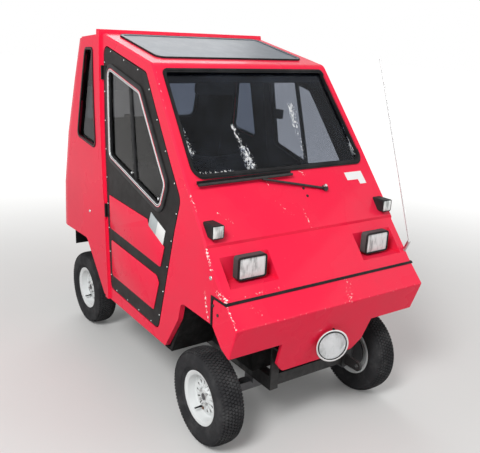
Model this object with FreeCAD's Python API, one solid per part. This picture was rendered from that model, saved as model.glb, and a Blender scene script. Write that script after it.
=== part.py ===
import FreeCAD
import Part
import math
import os

# Two-seat electric microcar with a moulded body in two halves, in millimetres.
# The frame has +Z up, the front facing -Y and the car's left side at +X.
# The origin is on the floor, midway along the length and the width.

V = FreeCAD.Vector
SIDES = (("left", 1.0), ("right", -1.0))
FAR = 1200.0

# Whole car
WHEELBASE = 1300.0
CAR_FRONT = -925.0
CAR_REAR = 925.0
TYRE_RADIUS = 202.0
TYRE_WIDTH = 112.0
FRONT_TYRE_X = 422.0
REAR_TYRE_X = 378.0
FRONT_AXLE_Y = -WHEELBASE / 2
REAR_AXLE_Y = WHEELBASE / 2
HUB_Z = TYRE_RADIUS

# Clearances: flat pieces that rest on each other, and round ones that turn in each other
SEAT_GAP = 0.3
FIT = 0.06

# How far fused pieces reach into each other
BITE = 2.0

# Mouldings: thick double walls at the sides, a single skin at the nose, and bevelled ridges
WALL = 24.0
SKIN = 14.0
RIDGE_BEVEL = 6.0
GLASS = 5.0
GLASS_INSET = 8.0

# Nose, windscreen and roof planes in side view, as (y, z)
NOSE_FOOT = (-847.0, 700.0)
ROOF_FRONT = (-210.0, 1492.0)
ROOF_BAND = (335.0, 1600.0)
ROOF_TAIL = (700.0, 1556.0)
ROOF_ROUND = 45.0
ROOF_DROP = 10.0
SILL_Z = 330.0
CREASE_Z = (862.0, 874.0)
CREASE_DEPTH = 10.0

# Front wheel arch from the sill up, as (y, z, radius)
ARCH_TOP_Z = 581.0
FRONT_ARCH = ((-399.0, SILL_Z), (-508.0, 495.0, 60.0), (-531.0, ARCH_TOP_Z, 35.0))

# Body in front view as (half width, z): straight below the waist and curved above it
FOOT_HALF = (485.0, 250.0)
WAIST_HALF = (492.0, 865.0)
BROW_HALF = (480.0, 1180.0)
ROOF_HALF = (449.0, 1640.0)

# Raised band between the two mouldings, on both sides of a line in side view
BAND_LINE = ((190.0, SILL_Z), (214.0, 830.0), (335.0, 1600.0))
BAND_PROUD = 11.0
BAND_WIDTH = 32.0
BAND_TOP_ROUND = 6.0

# Door, its window and its two raised fields in side view, as (y, z, radius)
DOOR = (
    (163.0, 392.0, 30.0),
    (-338.0, 378.0, 45.0),
    (-513.0, 1000.0, 60.0),
    (-166.0, 1456.0, 45.0),
    (283.0, 1548.0, 35.0),
    (188.0, 880.0),
)
DOOR_WINDOW = (
    (152.0, 1052.0, 35.0),
    (-352.0, 925.0, 35.0),
    (-392.0, 1035.0, 35.0),
    (-124.0, 1372.0, 35.0),
    (213.0, 1450.0, 30.0),
)
UPPER_FIELD = (
    (151.0, 867.0, 6.0),
    (-240.0, 853.0, 4.0),
    (-255.0, 826.0, 3.0),
    (-393.0, 774.0, 6.0),
    (-359.0, 676.0, 12.0),
    (147.0, 706.0, 12.0),
)
LOWER_FIELD = (
    (138.0, 648.0, 10.0),
    (-323.0, 627.0, 14.0),
    (-346.0, 600.0, 14.0),
    (-296.0, 459.0, 8.0),
    (135.0, 469.0, 20.0),
)
DOOR_GAP = 5.0
FIELD_PROUD = 2.0
TRIM_WIDTH = 22.0
TRIM_PROUD = 4.0

# Bar between the door's two sliding panes, as (y, z) at its head and foot
DIVIDER = ((-11.0, 1396.0), (-112.0, 990.0))
DIVIDER_WIDTH = 18.0
DIVIDER_INSET = 4.0

# Hinges on the left door's rear edge, as (y, z) of their middles
HINGE_PLACES = ((187.0, 784.0), (268.0, 1420.0))
HINGE_REACH = 32.0
HINGE_BARREL = 5.0
HINGE_GAP = 2.2
LEAF_PROUD = 3.0
LEAF_GAP = 0.6
LEAF_LENGTH = 34.0
LEAF_OVERHANG = 13.0
LEAF_SUNK = 1.0

# Windscreen as (z, corner radius) at its foot and head, and the post beside it
SCREEN_FOOT = (1082.0, 45.0)
SCREEN_HEAD = (1474.0, 25.0)
SCREEN_POST = 35.0
SEAL_WIDTH = 14.0
SEAL_PROUD = 5.0

# Smoked roof panel with its rubber rim
SUNROOF_Y = (-130.0, 270.0)
SUNROOF_HALF = 392.0
SUNROOF_ROUND = 40.0
SUNROOF_PROUD = 4.0
SUNROOF_RIM = (14.0, 7.0)

# Quarter window in side view as (y, z, radius), and rear window in rear view as (half width, z)
QUARTER_WINDOW = (
    (321.0, 1054.0, 30.0),
    (407.0, 1527.0, 25.0),
    (503.0, 1522.0, 25.0),
    (566.0, 1084.0, 30.0),
)
QUARTER_INSET = 12.0
QUARTER_RIM = (12.0, 3.0)
REAR_WINDOW = ((352.0, 1120.0), (334.0, 1470.0))
REAR_WINDOW_ROUND = 40.0

# Tail sections as (height, rear face y, corner radius), and the rear wheel's arch as (y, z, radius)
TAIL_SECTIONS = (
    (300.0, 925.0, 190.0),
    (560.0, 925.0, 190.0),
    (800.0, 900.0, 185.0),
    (1080.0, 832.0, 165.0),
    (1360.0, 739.0, 140.0),
    (1640.0, 645.0, 110.0),
)
TAIL_FRONT = 100.0
REAR_ARCH = ((246.0, SILL_Z), (460.0, 566.0, 40.0))
TAIL_FOOT_Z = 550.0

# Nose bumper and its centre skirt: seam above it, and corners as (y, z) and (half width, z)
SEAM_Y = -760.0
SEAM_Z = 695.0
SEAM_HALF = 4.0
SEAM_PROUD = 3.0
BUMPER_EDGE = (CAR_FRONT, 620.0)
BUMPER_FOOT = (-880.0, 486.0)
BUMPER_UNDER = (-837.0, 505.0)
BUMPER_ROUND = 6.0
SKIRT = ((240.0, 496.0, 0.0), (230.0, 385.0, 0.0), (190.0, 337.0, 30.0))

# Lamp pockets and headlamps in the nose
POCKET_IN_X = 226.0
POCKET_Z = 734.0
POCKET_Y = -735.0
POCKET_WALL = 10.0
POCKET_EDGE = 42.0
LAMP_X = (264.0, 396.0)
LAMP_Z = (744.0, 836.0)
LAMP_Y = -788.0
LAMP_RIM = 34.0
LAMP_ROUND = 12.0
LAMP_RECESS = (7.0, 6.0)
LENS_EDGE = 9.0
LENS_Y = (LAMP_Y - 2.0, LAMP_Y + 7.0)
BOWL_EDGE = ((4.0, 4.0), (26.0, 18.0))
FLUTES = 9
FLUTE_REACH = (0.75, 0.90)

# Indicator pods, the round lamp and the tail lamps
POD_Z = 922.0
POD_SIZE = 54.0
POD_Y = -715.0
POD_EDGE = 46.0
POD_ROUND = 9.0
POD_RECESS = (4.0, 5.0)
POD_LENS = (6.0, 1.0)
SPOT_FACE = V(1.0, -909.0, 435.0)
SPOT_TURN = math.radians(18.0)
SPOT_RADIUS = 72.0
SPOT_DEPTH = 30.0
SPOT_STUD = 9.0
SPOT_DOME = (-6.0, -4.4, 1.0)
SPOT_RING = ((10.0, 1.0), (7.0, 0.0), (2.0, 0.0), (0.0, 3.0), (0.0, 9.0), (7.0, 15.0))
SPOT_BACK = 26.0
TAIL_LAMP_X = (270.0, 350.0)
TAIL_LAMP_Z = (640.0, 780.0)
TAIL_LAMP_PROUD = 6.0
TAIL_LAMP_DEPTH = 75.0
TAIL_GROOVE = (3.0, 2.5)

# Floor pan
FLOOR_Z = 300.0
SHEET = 14.0
WELL_HALF = 255.0
WELL_Y = -705.0
WELL_TOP_Z = 800.0
HOUSING_TOP_Z = 601.0
HOUSING_BEND = (-495.0, 490.0)
HOUSING_TOP_Y = -520.0
FLOOR_Y = (-395.0, 205.0)
FLOOR_RAMP = 20.0
DECK_Y = (440.0, 880.0)
DECK_Z = 552.0
APRON_Y = (866.0, 880.0)
APRON_FOOT_Z = 398.0

# Frame rails, cross members, and tow plates as (rail end, way out, reach of the hole)
RAIL_X = (180.0, 220.0)
RAIL_Z = (240.0, FLOOR_Z)
RAIL_Y = (-800.0, 870.0)
CROSS_WIDTH = 40.0
CROSS_IN = 10.0
CROSS_Y = (RAIL_Y[0] + CROSS_IN, -380.0, 180.0, RAIL_Y[1] - CROSS_IN - CROSS_WIDTH)
BRACKET = 8.0
BRACKET_TOP_Z = 440.0
BRACKET_REACH = 60.0
TOW_PLATES = ((RAIL_Y[0], -1.0, 70.0), (RAIL_Y[1], 1.0, 18.0))
TOW_HOLE = 10.0
TOW_ROUND = 22.0
TOW_THICK = 12.0

# Front axle, kingpins and knuckles
BEAM_HALF = (330.0, 22.0, 18.0)
KINGPIN_X = 365.0
PIN = 10.0
KING_Z = (146.0, 258.0)
FORK = 14.0
FORK_GAP = 1.0
FORK_ROOT_X = (316.0, 332.0)
FORK_HALF = (20.0, 16.0)
SPRING_BLOCK = (30.0, 10.0)
SLEEVE = 24.0
ARM_LENGTH = 95.0
ARM = (12.0, 2.0, 14.0)
PLATE_RADIUS = 76.0
PLATE_IN = (40.0, 33.0)

# Rear axle with springs of three leaves, as (half length, height over the axle)
STUB = 14.0
STUB_PAST = 22.0
TUBE = 26.0
DRIVE_RADIUS = 72.0
DRIVE_HALF = 75.0
LEAVES = ((200.0, 24.0), (145.0, 16.0), (90.0, 8.0))
LEAF = 8.0
SHACKLE = 30.0
MOTOR = (85.0, 260.0, 150.0, 290.0)
BATTERY = (330.0, -60.0, 185.0)
BATTERY_TOP_Z = 450.0

# Wheels: dished rim as (distance outboard, radius), ribs round its hub, and tyre
BEAD_HALF = 38.0
FLANGE = 5.0
RIM_SEAT = 102.0
RIM_EDGE = 115.0
STEEL = 4.0
RIBS = 14
RIB = (38.0, 72.0, 5.0, 5.0)
DISC_FACE = 8.0

# Cabin
WHEEL_CENTRE = V(205.0, -290.0, 860.0)
COLUMN_WAY = V(0.0, 0.80, 0.60)
COLUMN = (16.0, 420.0)
STEER_RADIUS = 170.0
STEER_RIM = 11.0
HUB = (28.0, 16.0, 14.0)
SPIGOT = 9.0
SPOKES = (90.0, 210.0, 330.0)
SPOKE = 7.0
HANGER = (12.0, 100.0, 10.0)
DASH_Z = (830.0, 940.0)
DASH_Y = -430.0
DASH_WALL = 12.0
DASH_EDGE = 40.0
DASH_SLANT = 40.0
DASH_ROUND = (12.0, 20.0)
HOOD_HALF = 110.0
HOOD = ((-80.0, -2.0, 0.0), (-22.0, -20.0, 0.0), (-10.0, 34.0, 8.0), (-60.0, 34.0, 16.0))
SEAT_HALF = 400.0
SEAT_SPLIT = (7.0, 22.0)
CUSHION_Y = (-225.0, 262.0)
CUSHION_TOP = (545.0, 0.063)
CUSHION_ROUND = (20.0, 30.0, 10.0)
BACK_Y = (172.0, 247.0)
BACK_HEAD = ((270.0, 1010.0), (345.0, 1000.0))
BACK_ROUND = (15.0, 30.0)
MIRROR = (-120.0, -150.0, 1385.0)
MIRROR_SIZE = (200.0, 14.0, 56.0)
MIRROR_ROUND = 18.0
MIRROR_STEM = 6.0

# Wiper as (x, z) of its pivot, elbow and blade, and the aerial
WIPER_PIVOT = (161.0, 1007.0)
WIPER_ELBOW = (-148.0, 1066.0)
WIPER_BLADE = ((-446.0, 1068.0), (10.0, 1072.0))
WIPER_LIFT = 8.0
WIPER_BOSS = 11.0
WIPER_ARM = 5.0
WIPER_RUBBER = 6.0
AERIAL_EDGE = 11.0
AERIAL_Z = (738.0, 786.0)
AERIAL_SUNK = 4.0
AERIAL_OUT = 16.0
AERIAL_RADIUS = (8.0, 3.0)
AERIAL_TIP = (-546.0, 1550.0)


def vec_x(x):
    """Map of side view points (y, z) onto the plane at x."""
    return lambda y, z: V(x, y, z)


def vec_y(y):
    """Map of front view points (x, z) onto the plane at y."""
    return lambda x, z: V(x, y, z)


def vec_z(z):
    """Map of plan points (x, y) onto the plane at z."""
    return lambda x, y: V(x, y, z)


def corner_cut(before, corner, after, radius):
    """Start, middle and end of the tangent arc that rounds one corner."""
    at = V(corner[0], corner[1], 0)
    to_before = (V(before[0], before[1], 0) - at).normalize()
    to_after = (V(after[0], after[1], 0) - at).normalize()
    half_turn = to_before.getAngle(to_after) / 2
    reach = radius / math.tan(half_turn)
    depth = radius / math.sin(half_turn) - radius
    to_centre = (to_before + to_after).normalize()
    return at + to_before * reach, at + to_centre * depth, at + to_after * reach


def outline(corners, place):
    """Closed wire through corners of (u, v) or (u, v, radius)."""
    count = len(corners)
    edges = []
    starts = []
    ends = []
    for index, corner in enumerate(corners):
        radius = corner[2] if len(corner) > 2 else 0.0
        if radius:
            first, middle, last = corner_cut(corners[index - 1], corner, corners[(index + 1) % count], radius)
            arc = Part.Arc(place(first.x, first.y), place(middle.x, middle.y), place(last.x, last.y))
            edges.append(arc.toShape())
        else:
            first = last = V(corner[0], corner[1], 0)
        starts.append(first)
        ends.append(last)
    for index in range(count):
        here = ends[index]
        there = starts[(index + 1) % count]
        edges.append(Part.makeLine(place(here.x, here.y), place(there.x, there.y)))
    return Part.Wire(Part.__sortEdges__(edges))


def moved_corners(corners, gap):
    """The same outline with each side moved towards its middle by gap, or outwards where gap is negative."""
    count = len(corners)
    middle = V(sum(c[0] for c in corners) / count, sum(c[1] for c in corners) / count, 0)
    lines = []
    for index in range(count):
        start = V(corners[index][0], corners[index][1], 0)
        end = V(corners[(index + 1) % count][0], corners[(index + 1) % count][1], 0)
        way = (end - start).normalize()
        inwards = V(-way.y, way.x, 0)
        if inwards.dot(middle - start) < 0:
            inwards = -inwards
        lines.append((start + inwards * gap, way))
    result = []
    for index in range(count):
        start, way = lines[index - 1]
        other, other_way = lines[index]
        cross = way.x * other_way.y - way.y * other_way.x
        reach = ((other.x - start.x) * other_way.y - (other.y - start.y) * other_way.x) / cross
        point = start + way * reach
        radius = corners[index][2] if len(corners[index]) > 2 else 0.0
        result.append((point.x, point.y, max(radius - gap, 0.0) if radius else 0.0))
    return result


def prism_x(corners, x_from, x_to):
    """Side view outline swept across the car."""
    return Part.Face(outline(corners, vec_x(x_from))).extrude(V(x_to - x_from, 0, 0))


def prism_y(corners, y_from, y_to):
    """Front view outline swept along the car."""
    return Part.Face(outline(corners, vec_y(y_from))).extrude(V(0, y_to - y_from, 0))


def prism_z(corners, z_from, z_to):
    """Plan outline swept upwards."""
    return Part.Face(outline(corners, vec_z(z_from))).extrude(V(0, 0, z_to - z_from))


def box(x_from, x_to, y_from, y_to, z_from, z_to):
    """Block between two places on each axis."""
    return Part.makeBox(x_to - x_from, y_to - y_from, z_to - z_from, V(x_from, y_from, z_from))


def rod(start, end, radius):
    """Round bar between two points."""
    way = end - start
    return Part.makeCylinder(radius, way.Length, start, way)


def across(x_from, x_to, radius, y, z):
    """Round bar along X."""
    return rod(V(x_from, y, z), V(x_to, y, z), radius)


def plate_y(x_range, z_range, edge, radius, y_from, y_to):
    """Plate facing the front with rounded corners, its outline moved inwards by edge."""
    (x_from, x_to), (z_from, z_to) = x_range, z_range
    corners = [(x_from, z_from, radius), (x_to, z_from, radius), (x_to, z_to, radius), (x_from, z_to, radius)]
    return prism_y(moved_corners(corners, edge), y_from, y_to)


def both_sides(half_corners):
    """Outline from the corners of its left half, given from one end to the other."""
    return list(half_corners) + [(-c[0],) + tuple(c[1:]) for c in reversed(half_corners)]


def mirrored(shape, side):
    """The shape itself for the left side (+1), or its mirror image for the right side (-1)."""
    if side > 0:
        return shape
    return shape.mirror(V(0, 0, 0), V(1, 0, 0))


def fused(shapes):
    """One solid out of shapes that meet."""
    return shapes[0].multiFuse(shapes[1:]).removeSplitter()


def save(name, shape):
    """Write one node's solids, which have to be sound, to parts/."""
    solids = shape.Solids
    if not solids or not shape.isValid():
        raise ValueError(name + " has no sound solid")
    whole = solids[0] if len(solids) == 1 else Part.Compound(solids)
    whole.exportStep("parts/" + name + ".step")


def half_width(z):
    """Half width of the body at height z."""
    (x_a, z_a), (x_b, z_b), (x_c, z_c) = WAIST_HALF, BROW_HALF, ROOF_HALF
    if z <= z_a:
        return FOOT_HALF[0] + (z - FOOT_HALF[1]) * (x_a - FOOT_HALF[0]) / (z_a - FOOT_HALF[1])
    square_b = (x_b * x_b - x_a * x_a + z_b * z_b - z_a * z_a) / 2
    square_c = (x_c * x_c - x_a * x_a + z_c * z_c - z_a * z_a) / 2
    cross = (x_b - x_a) * (z_c - z_a) - (x_c - x_a) * (z_b - z_a)
    centre_x = (square_b * (z_c - z_a) - square_c * (z_b - z_a)) / cross
    centre_z = ((x_b - x_a) * square_c - (x_c - x_a) * square_b) / cross
    radius = math.hypot(x_a - centre_x, z_a - centre_z)
    bulge = math.copysign(1.0, x_a - centre_x)
    return centre_x + bulge * math.sqrt(radius ** 2 - (z - centre_z) ** 2)


def slope_y(z, inset=0.0):
    """Place along the car of the nose and windscreen plane at height z, moved inwards by inset."""
    run = ROOF_FRONT[0] - NOSE_FOOT[0]
    rise = ROOF_FRONT[1] - NOSE_FOOT[1]
    return NOSE_FOOT[0] + (z - NOSE_FOOT[1]) * run / rise + inset * math.hypot(run, rise) / rise


def roof_z(y, inset=0.0):
    """Height of the front roof plane at y, moved inwards by inset."""
    run = ROOF_BAND[0] - ROOF_FRONT[0]
    rise = ROOF_BAND[1] - ROOF_FRONT[1]
    return ROOF_FRONT[1] + (y - ROOF_FRONT[0]) * rise / run - inset * math.hypot(run, rise) / run


def rear_roof_z(y, inset=0.0):
    """Height of the rear roof plane at y, moved inwards by inset."""
    start_z = ROOF_BAND[1] - ROOF_DROP
    rise = (ROOF_TAIL[1] - start_z) / (ROOF_TAIL[0] - ROOF_BAND[0])
    return start_z + (y - ROOF_BAND[0]) * rise - inset


# Places across the car that follow the body's own width
PAN_HALF = half_width(FLOOR_Z) - WALL - 3.5
POCKET_X = (POCKET_IN_X, half_width(POCKET_Z) - POCKET_EDGE)
POD_X = half_width(POD_Z) - POD_EDGE
DASH_HALF = half_width(DASH_Z[1]) - DASH_EDGE
AERIAL_X = half_width(AERIAL_Z[0]) - AERIAL_EDGE


def body_section(grow):
    """Front view prism of the whole body, grown outwards by the given amount."""
    edges = []
    for _, side in SIDES:
        foot = V(side * (FOOT_HALF[0] + grow), -FAR, FOOT_HALF[1])
        waist = V(side * (WAIST_HALF[0] + grow), -FAR, WAIST_HALF[1])
        brow = V(side * (BROW_HALF[0] + grow), -FAR, BROW_HALF[1])
        roof = V(side * (ROOF_HALF[0] + grow), -FAR, ROOF_HALF[1])
        edges.append(Part.makeLine(foot, waist))
        edges.append(Part.Arc(waist, brow, roof).toShape())
    for half, height in (FOOT_HALF, ROOF_HALF):
        edges.append(Part.makeLine(V(-half - grow, -FAR, height), V(half + grow, -FAR, height)))
    wire = Part.Wire(Part.__sortEdges__(edges))
    return Part.Face(wire).extrude(V(0, 2 * FAR, 0))


def wall_layer(proud, inset):
    """Both side walls' layer from proud of the body's faces to inset behind them."""
    return body_section(proud).cut(body_section(-inset))


def middle_of(edge):
    """Middle point of an edge."""
    return edge.valueAt((edge.FirstParameter + edge.LastParameter) / 2)


def wall_edges(block, grow, accept):
    """Edges on the side walls grown outwards, whose middles the test accepts."""
    found = []
    for edge in block.Edges:
        middle = middle_of(edge)
        on_one_side = edge.Vertexes[0].X * edge.Vertexes[-1].X > 0
        if on_one_side and abs(abs(middle.x) - half_width(middle.z) - grow) < 1.5 and accept(middle):
            found.append(edge)
    return found


def band_edge(shift, top_z):
    """The band line from the sill to top_z as three points, moved along the car by shift."""
    low, middle, high = BAND_LINE
    lean = (high[0] - middle[0]) / (high[1] - middle[1])
    top_y = middle[0] + (top_z - middle[1]) * lean
    return [(low[0] + shift, low[1]), (middle[0] + shift, middle[1]), (top_y + shift, top_z)]


def beside_band(way):
    """Everything in front of the band (-1) or behind it (+1)."""
    edge = band_edge(way * BAND_WIDTH / 2, ROOF_HALF[1])
    return prism_x([(way * FAR, SILL_Z)] + edge + [(way * FAR, ROOF_HALF[1])], -FAR, FAR)


def front_block():
    """Sharp-edged block inside the outer faces of the front moulding."""
    seam_back = SEAM_Y + SEAM_HALF
    seam_top = SEAM_Z + SEAM_HALF
    corners = [(FAR, SILL_Z)] + list(FRONT_ARCH) + [
        (seam_back, ARCH_TOP_Z),
        (seam_back, seam_top),
        (slope_y(seam_top), seam_top),
        (slope_y(CREASE_Z[0]) + CREASE_DEPTH, CREASE_Z[0]),
        (slope_y(CREASE_Z[1]), CREASE_Z[1]),
        (ROOF_FRONT[0], ROOF_FRONT[1], ROOF_ROUND),
        (FAR, roof_z(FAR)),
    ]
    return prism_x(corners, -FAR, FAR).common(beside_band(-1.0)).common(body_section(0.0))


def on_front(point):
    """Whether a point lies on the windscreen plane, the roof plane or the bend between them."""
    on_slope = abs(point.y - slope_y(point.z)) < ROOF_ROUND / 2
    return on_slope or abs(point.z - roof_z(point.y)) < RIDGE_BEVEL / 2


def front_outer():
    """The front moulding's outer form, its ridges bevelled above and below the crease."""
    block = front_block()
    upper = wall_edges(block, 0.0, lambda m: m.z > CREASE_Z[1] and on_front(m))
    block = block.makeChamfer(RIDGE_BEVEL, upper)
    lower = wall_edges(block, 0.0, lambda m: SEAM_Z + SEAM_HALF < m.z < CREASE_Z[0] and on_front(m))
    return block.makeChamfer(RIDGE_BEVEL, lower)


def front_corner(skin, wall):
    """Where the slope, moved inwards by skin, meets the roof, moved inwards by wall, as (y, z)."""
    roof_rise = roof_z(1.0, wall) - roof_z(0.0, wall)
    slope_run = slope_y(1.0, skin) - slope_y(0.0, skin)
    z = (roof_z(0.0, wall) + roof_rise * slope_y(0.0, skin)) / (1.0 - roof_rise * slope_run)
    return slope_y(z, skin), z


def front_inner():
    """Hollow of the front moulding, open below and behind."""
    corners = [
        (FAR, 0.0),
        (slope_y(SEAM_Z, SKIN), 0.0),
        (slope_y(SEAM_Z, SKIN), SEAM_Z),
        front_corner(SKIN, WALL),
        (FAR, roof_z(FAR, WALL)),
    ]
    return prism_x(corners, -FAR, FAR).common(body_section(-WALL))


def screen_opening(grow):
    """Windscreen outline in front view, grown outwards and swept along the car."""
    half_corners = [(half_width(z) - SCREEN_POST, z, radius) for z, radius in (SCREEN_FOOT, SCREEN_HEAD)]
    return prism_y(moved_corners(both_sides(half_corners), -grow), -FAR, 0.0)


def sunroof_opening(grow):
    """Roof panel outline in plan, grown outwards and swept upwards."""
    half_corners = [(SUNROOF_HALF, y, SUNROOF_ROUND) for y in SUNROOF_Y]
    return prism_z(moved_corners(both_sides(half_corners), -grow), ROOF_FRONT[1] - WALL * 3, ROOF_HALF[1])


def slope_sheet(outer, inner):
    """Sheet parallel to the nose and windscreen, between two insets."""
    low, high = CREASE_Z[1], ROOF_BAND[1]
    corners = [(slope_y(low, outer), low), (slope_y(high, outer), high)]
    corners += [(slope_y(high, inner), high), (slope_y(low, inner), low)]
    return prism_x(corners, -FAR, FAR)


def roof_sheet(outer, inner):
    """Sheet parallel to the front roof, between two insets."""
    front, back = ROOF_FRONT[0] - ROOF_ROUND, ROOF_BAND[0] - BAND_WIDTH / 2
    corners = [(front, roof_z(front, outer)), (back, roof_z(back, outer))]
    corners += [(back, roof_z(back, inner)), (front, roof_z(front, inner))]
    return prism_x(corners, -FAR, FAR)


def leaf_outline(ends, front, back):
    """Part of a hinge leaf between two distances ahead of its leaning barrel, swept outwards."""
    low, high = ends
    corners = [(low.y - back, low.z), (low.y - front, low.z)]
    corners += [(high.y - front, high.z), (high.y - back, high.z)]
    return prism_x(corners, 0.0, FAR)


def door_hinges():
    """Barrel and leaf of the two hinges on the left door's rear edge, on one axis."""
    low, high = [V(half_width(z) + HINGE_BARREL + HINGE_GAP, y, z) for y, z in HINGE_PLACES]
    way = (high - low).normalize()
    on_door = wall_layer(LEAF_PROUD, LEAF_SUNK)
    off_shell = wall_layer(LEAF_PROUD, -LEAF_GAP)
    hinges = []
    for middle in (low, high):
        ends = [middle + way * reach for reach in (-HINGE_REACH, HINGE_REACH)]
        barrel = rod(ends[0], ends[1], HINGE_BARREL)
        screwed = leaf_outline(ends, LEAF_LENGTH, LEAF_OVERHANG).common(on_door)
        free = leaf_outline(ends, LEAF_OVERHANG + LEAF_SUNK, 0.0).common(off_shell)
        hinges.append(fused([barrel, screwed, free]))
    return hinges


def make_front():
    """Front moulding with its lamp pockets, door, windscreen and sunroof openings."""
    outer = front_outer()
    shell = outer.cut(front_inner())
    for _, side in SIDES:
        tub = box(POCKET_X[0] - POCKET_WALL, POCKET_X[1] + POCKET_WALL, CAR_FRONT, POCKET_Y + POCKET_WALL,
                  POCKET_Z - POCKET_WALL, CREASE_Z[1])
        pocket = box(POCKET_X[0], POCKET_X[1], CAR_FRONT, POCKET_Y, POCKET_Z, CREASE_Z[1])
        shell = shell.fuse(mirrored(tub, side).common(outer)).cut(mirrored(pocket, side))
    doorways = prism_x(DOOR, -FAR, FAR).common(wall_layer(BAND_PROUD, WELL_HALF))
    shell = shell.cut(doorways).cut(screen_opening(0.0)).cut(sunroof_opening(0.0))
    save("front_shell", shell.removeSplitter())


def make_doors():
    """The two doors with their fields, window trim and hinges, and the panes with their divider."""
    window = prism_x(DOOR_WINDOW, -FAR, FAR)
    slab = front_block().cut(body_section(-WALL)).common(prism_x(moved_corners(DOOR, DOOR_GAP), -FAR, FAR))
    trim_outline = moved_corners(DOOR_WINDOW, -TRIM_WIDTH)
    trim = wall_layer(TRIM_PROUD, LEAF_SUNK).common(prism_x(trim_outline, -FAR, FAR))
    face = wall_layer(FIELD_PROUD, LEAF_SUNK)
    fields = [face.common(prism_x(field, -FAR, FAR)) for field in (UPPER_FIELD, LOWER_FIELD)]
    pane = wall_layer(-GLASS_INSET, GLASS_INSET + GLASS).common(window)
    (head_y, head_z), (foot_y, foot_z) = DIVIDER
    half = DIVIDER_WIDTH / 2
    bar = [(head_y - half, head_z), (head_y + half, head_z), (foot_y + half, foot_z), (foot_y - half, foot_z)]
    divider = wall_layer(-DIVIDER_INSET, GLASS_INSET + GLASS).common(prism_x(bar, -FAR, FAR)).common(window)
    hinges = door_hinges()
    left_half = box(0.0, FAR, -FAR, FAR, 0.0, ROOF_HALF[1])
    door = fused([piece.common(left_half) for piece in [slab, trim] + fields]).cut(window)
    door = fused([door] + hinges)
    glass = fused([pane.common(left_half), divider.common(left_half)])
    for name, side in SIDES:
        save("door_" + name, mirrored(door, side))
        save("door_glass_" + name, mirrored(glass, side))


def make_screen():
    """Windscreen, its rubber seal, and the roof panel with its raised rim."""
    opening = screen_opening(0.0)
    lit = screen_opening(-SEAL_WIDTH)
    save("windscreen_glass", slope_sheet(GLASS_INSET, GLASS_INSET + GLASS).common(lit))
    save("windscreen_seal", slope_sheet(-SEAL_PROUD, SKIN).common(opening).cut(lit))
    rim_width, rim_proud = SUNROOF_RIM
    panel = roof_sheet(-SUNROOF_PROUD, GLASS_INSET).common(sunroof_opening(0.0))
    rim = roof_sheet(-rim_proud, 0.0).common(sunroof_opening(0.0)).cut(sunroof_opening(-rim_width))
    save("sunroof_panel", fused([panel, rim]))


def make_band():
    """Raised band round the body between the two mouldings, with the pillars behind it."""
    top = ROOF_BAND[1] + BAND_PROUD
    front = band_edge(-BAND_WIDTH / 2, top)
    back = band_edge(BAND_WIDTH / 2, top)
    strip = [front[0], front[1], front[2] + (BAND_TOP_ROUND,), back[2] + (BAND_TOP_ROUND,), back[1], back[0]]
    hoop = prism_x(strip, -FAR, FAR).common(body_section(BAND_PROUD))
    hollow = body_section(-WALL).common(box(-FAR, FAR, -FAR, FAR, 0.0, roof_z(BAND_LINE[2][0], WALL)))
    save("body_band", hoop.cut(hollow))


def rear_line(low_z, inset):
    """Side view of the rear face from low_z up to the roof plane, as (y, z)."""
    line = [(rear - inset, height) for height, rear, _ in TAIL_SECTIONS if height > low_z]
    (y_a, z_a), (y_b, z_b) = line[-2:]
    lean = (y_b - y_a) / (z_b - z_a)
    roof_rise = rear_roof_z(1.0, inset) - rear_roof_z(0.0, inset)
    edge_z = (rear_roof_z(0.0, inset) + roof_rise * (y_a - lean * z_a)) / (1.0 - roof_rise * lean)
    return [(line[0][0], low_z)] + line[:-1] + [(y_a + lean * (edge_z - z_a), edge_z)]


def rear_corner(inset):
    """What is taken off the left rear corner to round it."""
    spare = 40.0
    wires = []
    for height, rear, full_radius in TAIL_SECTIONS:
        radius = full_radius - inset
        side_x = half_width(height) - inset
        back_y = rear - inset
        knee = radius * (1.0 - math.sqrt(0.5))
        points = [
            V(side_x, back_y - radius, height),
            V(side_x + spare, back_y - radius, height),
            V(side_x + spare, back_y + spare, height),
            V(side_x - radius, back_y + spare, height),
            V(side_x - radius, back_y, height),
        ]
        edges = [Part.makeLine(points[index], points[index + 1]) for index in range(4)]
        edges.append(Part.Arc(points[4], V(side_x - knee, back_y - knee, height), points[0]).toShape())
        wires.append(Part.Wire(edges))
    return Part.makeLoft(wires, True, True)


def tail_block(outline_points, inset):
    """Solid within a side view outline, the walls moved inwards by inset and the rounded rear corners."""
    solid = prism_x(outline_points, -FAR, FAR).common(body_section(-inset))
    corner = rear_corner(inset)
    for _, side in SIDES:
        solid = solid.cut(mirrored(corner, side))
    return solid


def tail_outer():
    """The rear moulding's outer faces, with its cut away rear wheel opening."""
    corners = [(TAIL_FRONT, SILL_Z)] + list(REAR_ARCH)
    corners += rear_line(TAIL_FOOT_Z, 0.0) + [(TAIL_FRONT, rear_roof_z(TAIL_FRONT))]
    block = tail_block(corners, 0.0).common(beside_band(1.0))
    roof_edge_y = rear_line(TAIL_FOOT_Z, 0.0)[-1][0]
    back = [e for e in block.Edges if abs(middle_of(e).y - roof_edge_y) < 1.0 and abs(middle_of(e).x) < 1.0
            and middle_of(e).z > ROOF_FRONT[1]]
    return block.makeChamfer(RIDGE_BEVEL, back)


def tail_inner(inset, front_y):
    """The room inside the rear moulding's faces moved inwards by inset, open below."""
    corners = [(front_y, 0.0)] + rear_line(1.0, inset) + [(front_y, rear_roof_z(front_y, inset))]
    return tail_block(corners, inset)


def rear_opening(edge):
    """Rear window outline in rear view, moved inwards by edge and swept along the car."""
    half_corners = [(half, z, REAR_WINDOW_ROUND) for half, z in REAR_WINDOW]
    return prism_y(moved_corners(both_sides(half_corners), edge), CAR_REAR / 2, FAR)


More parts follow.
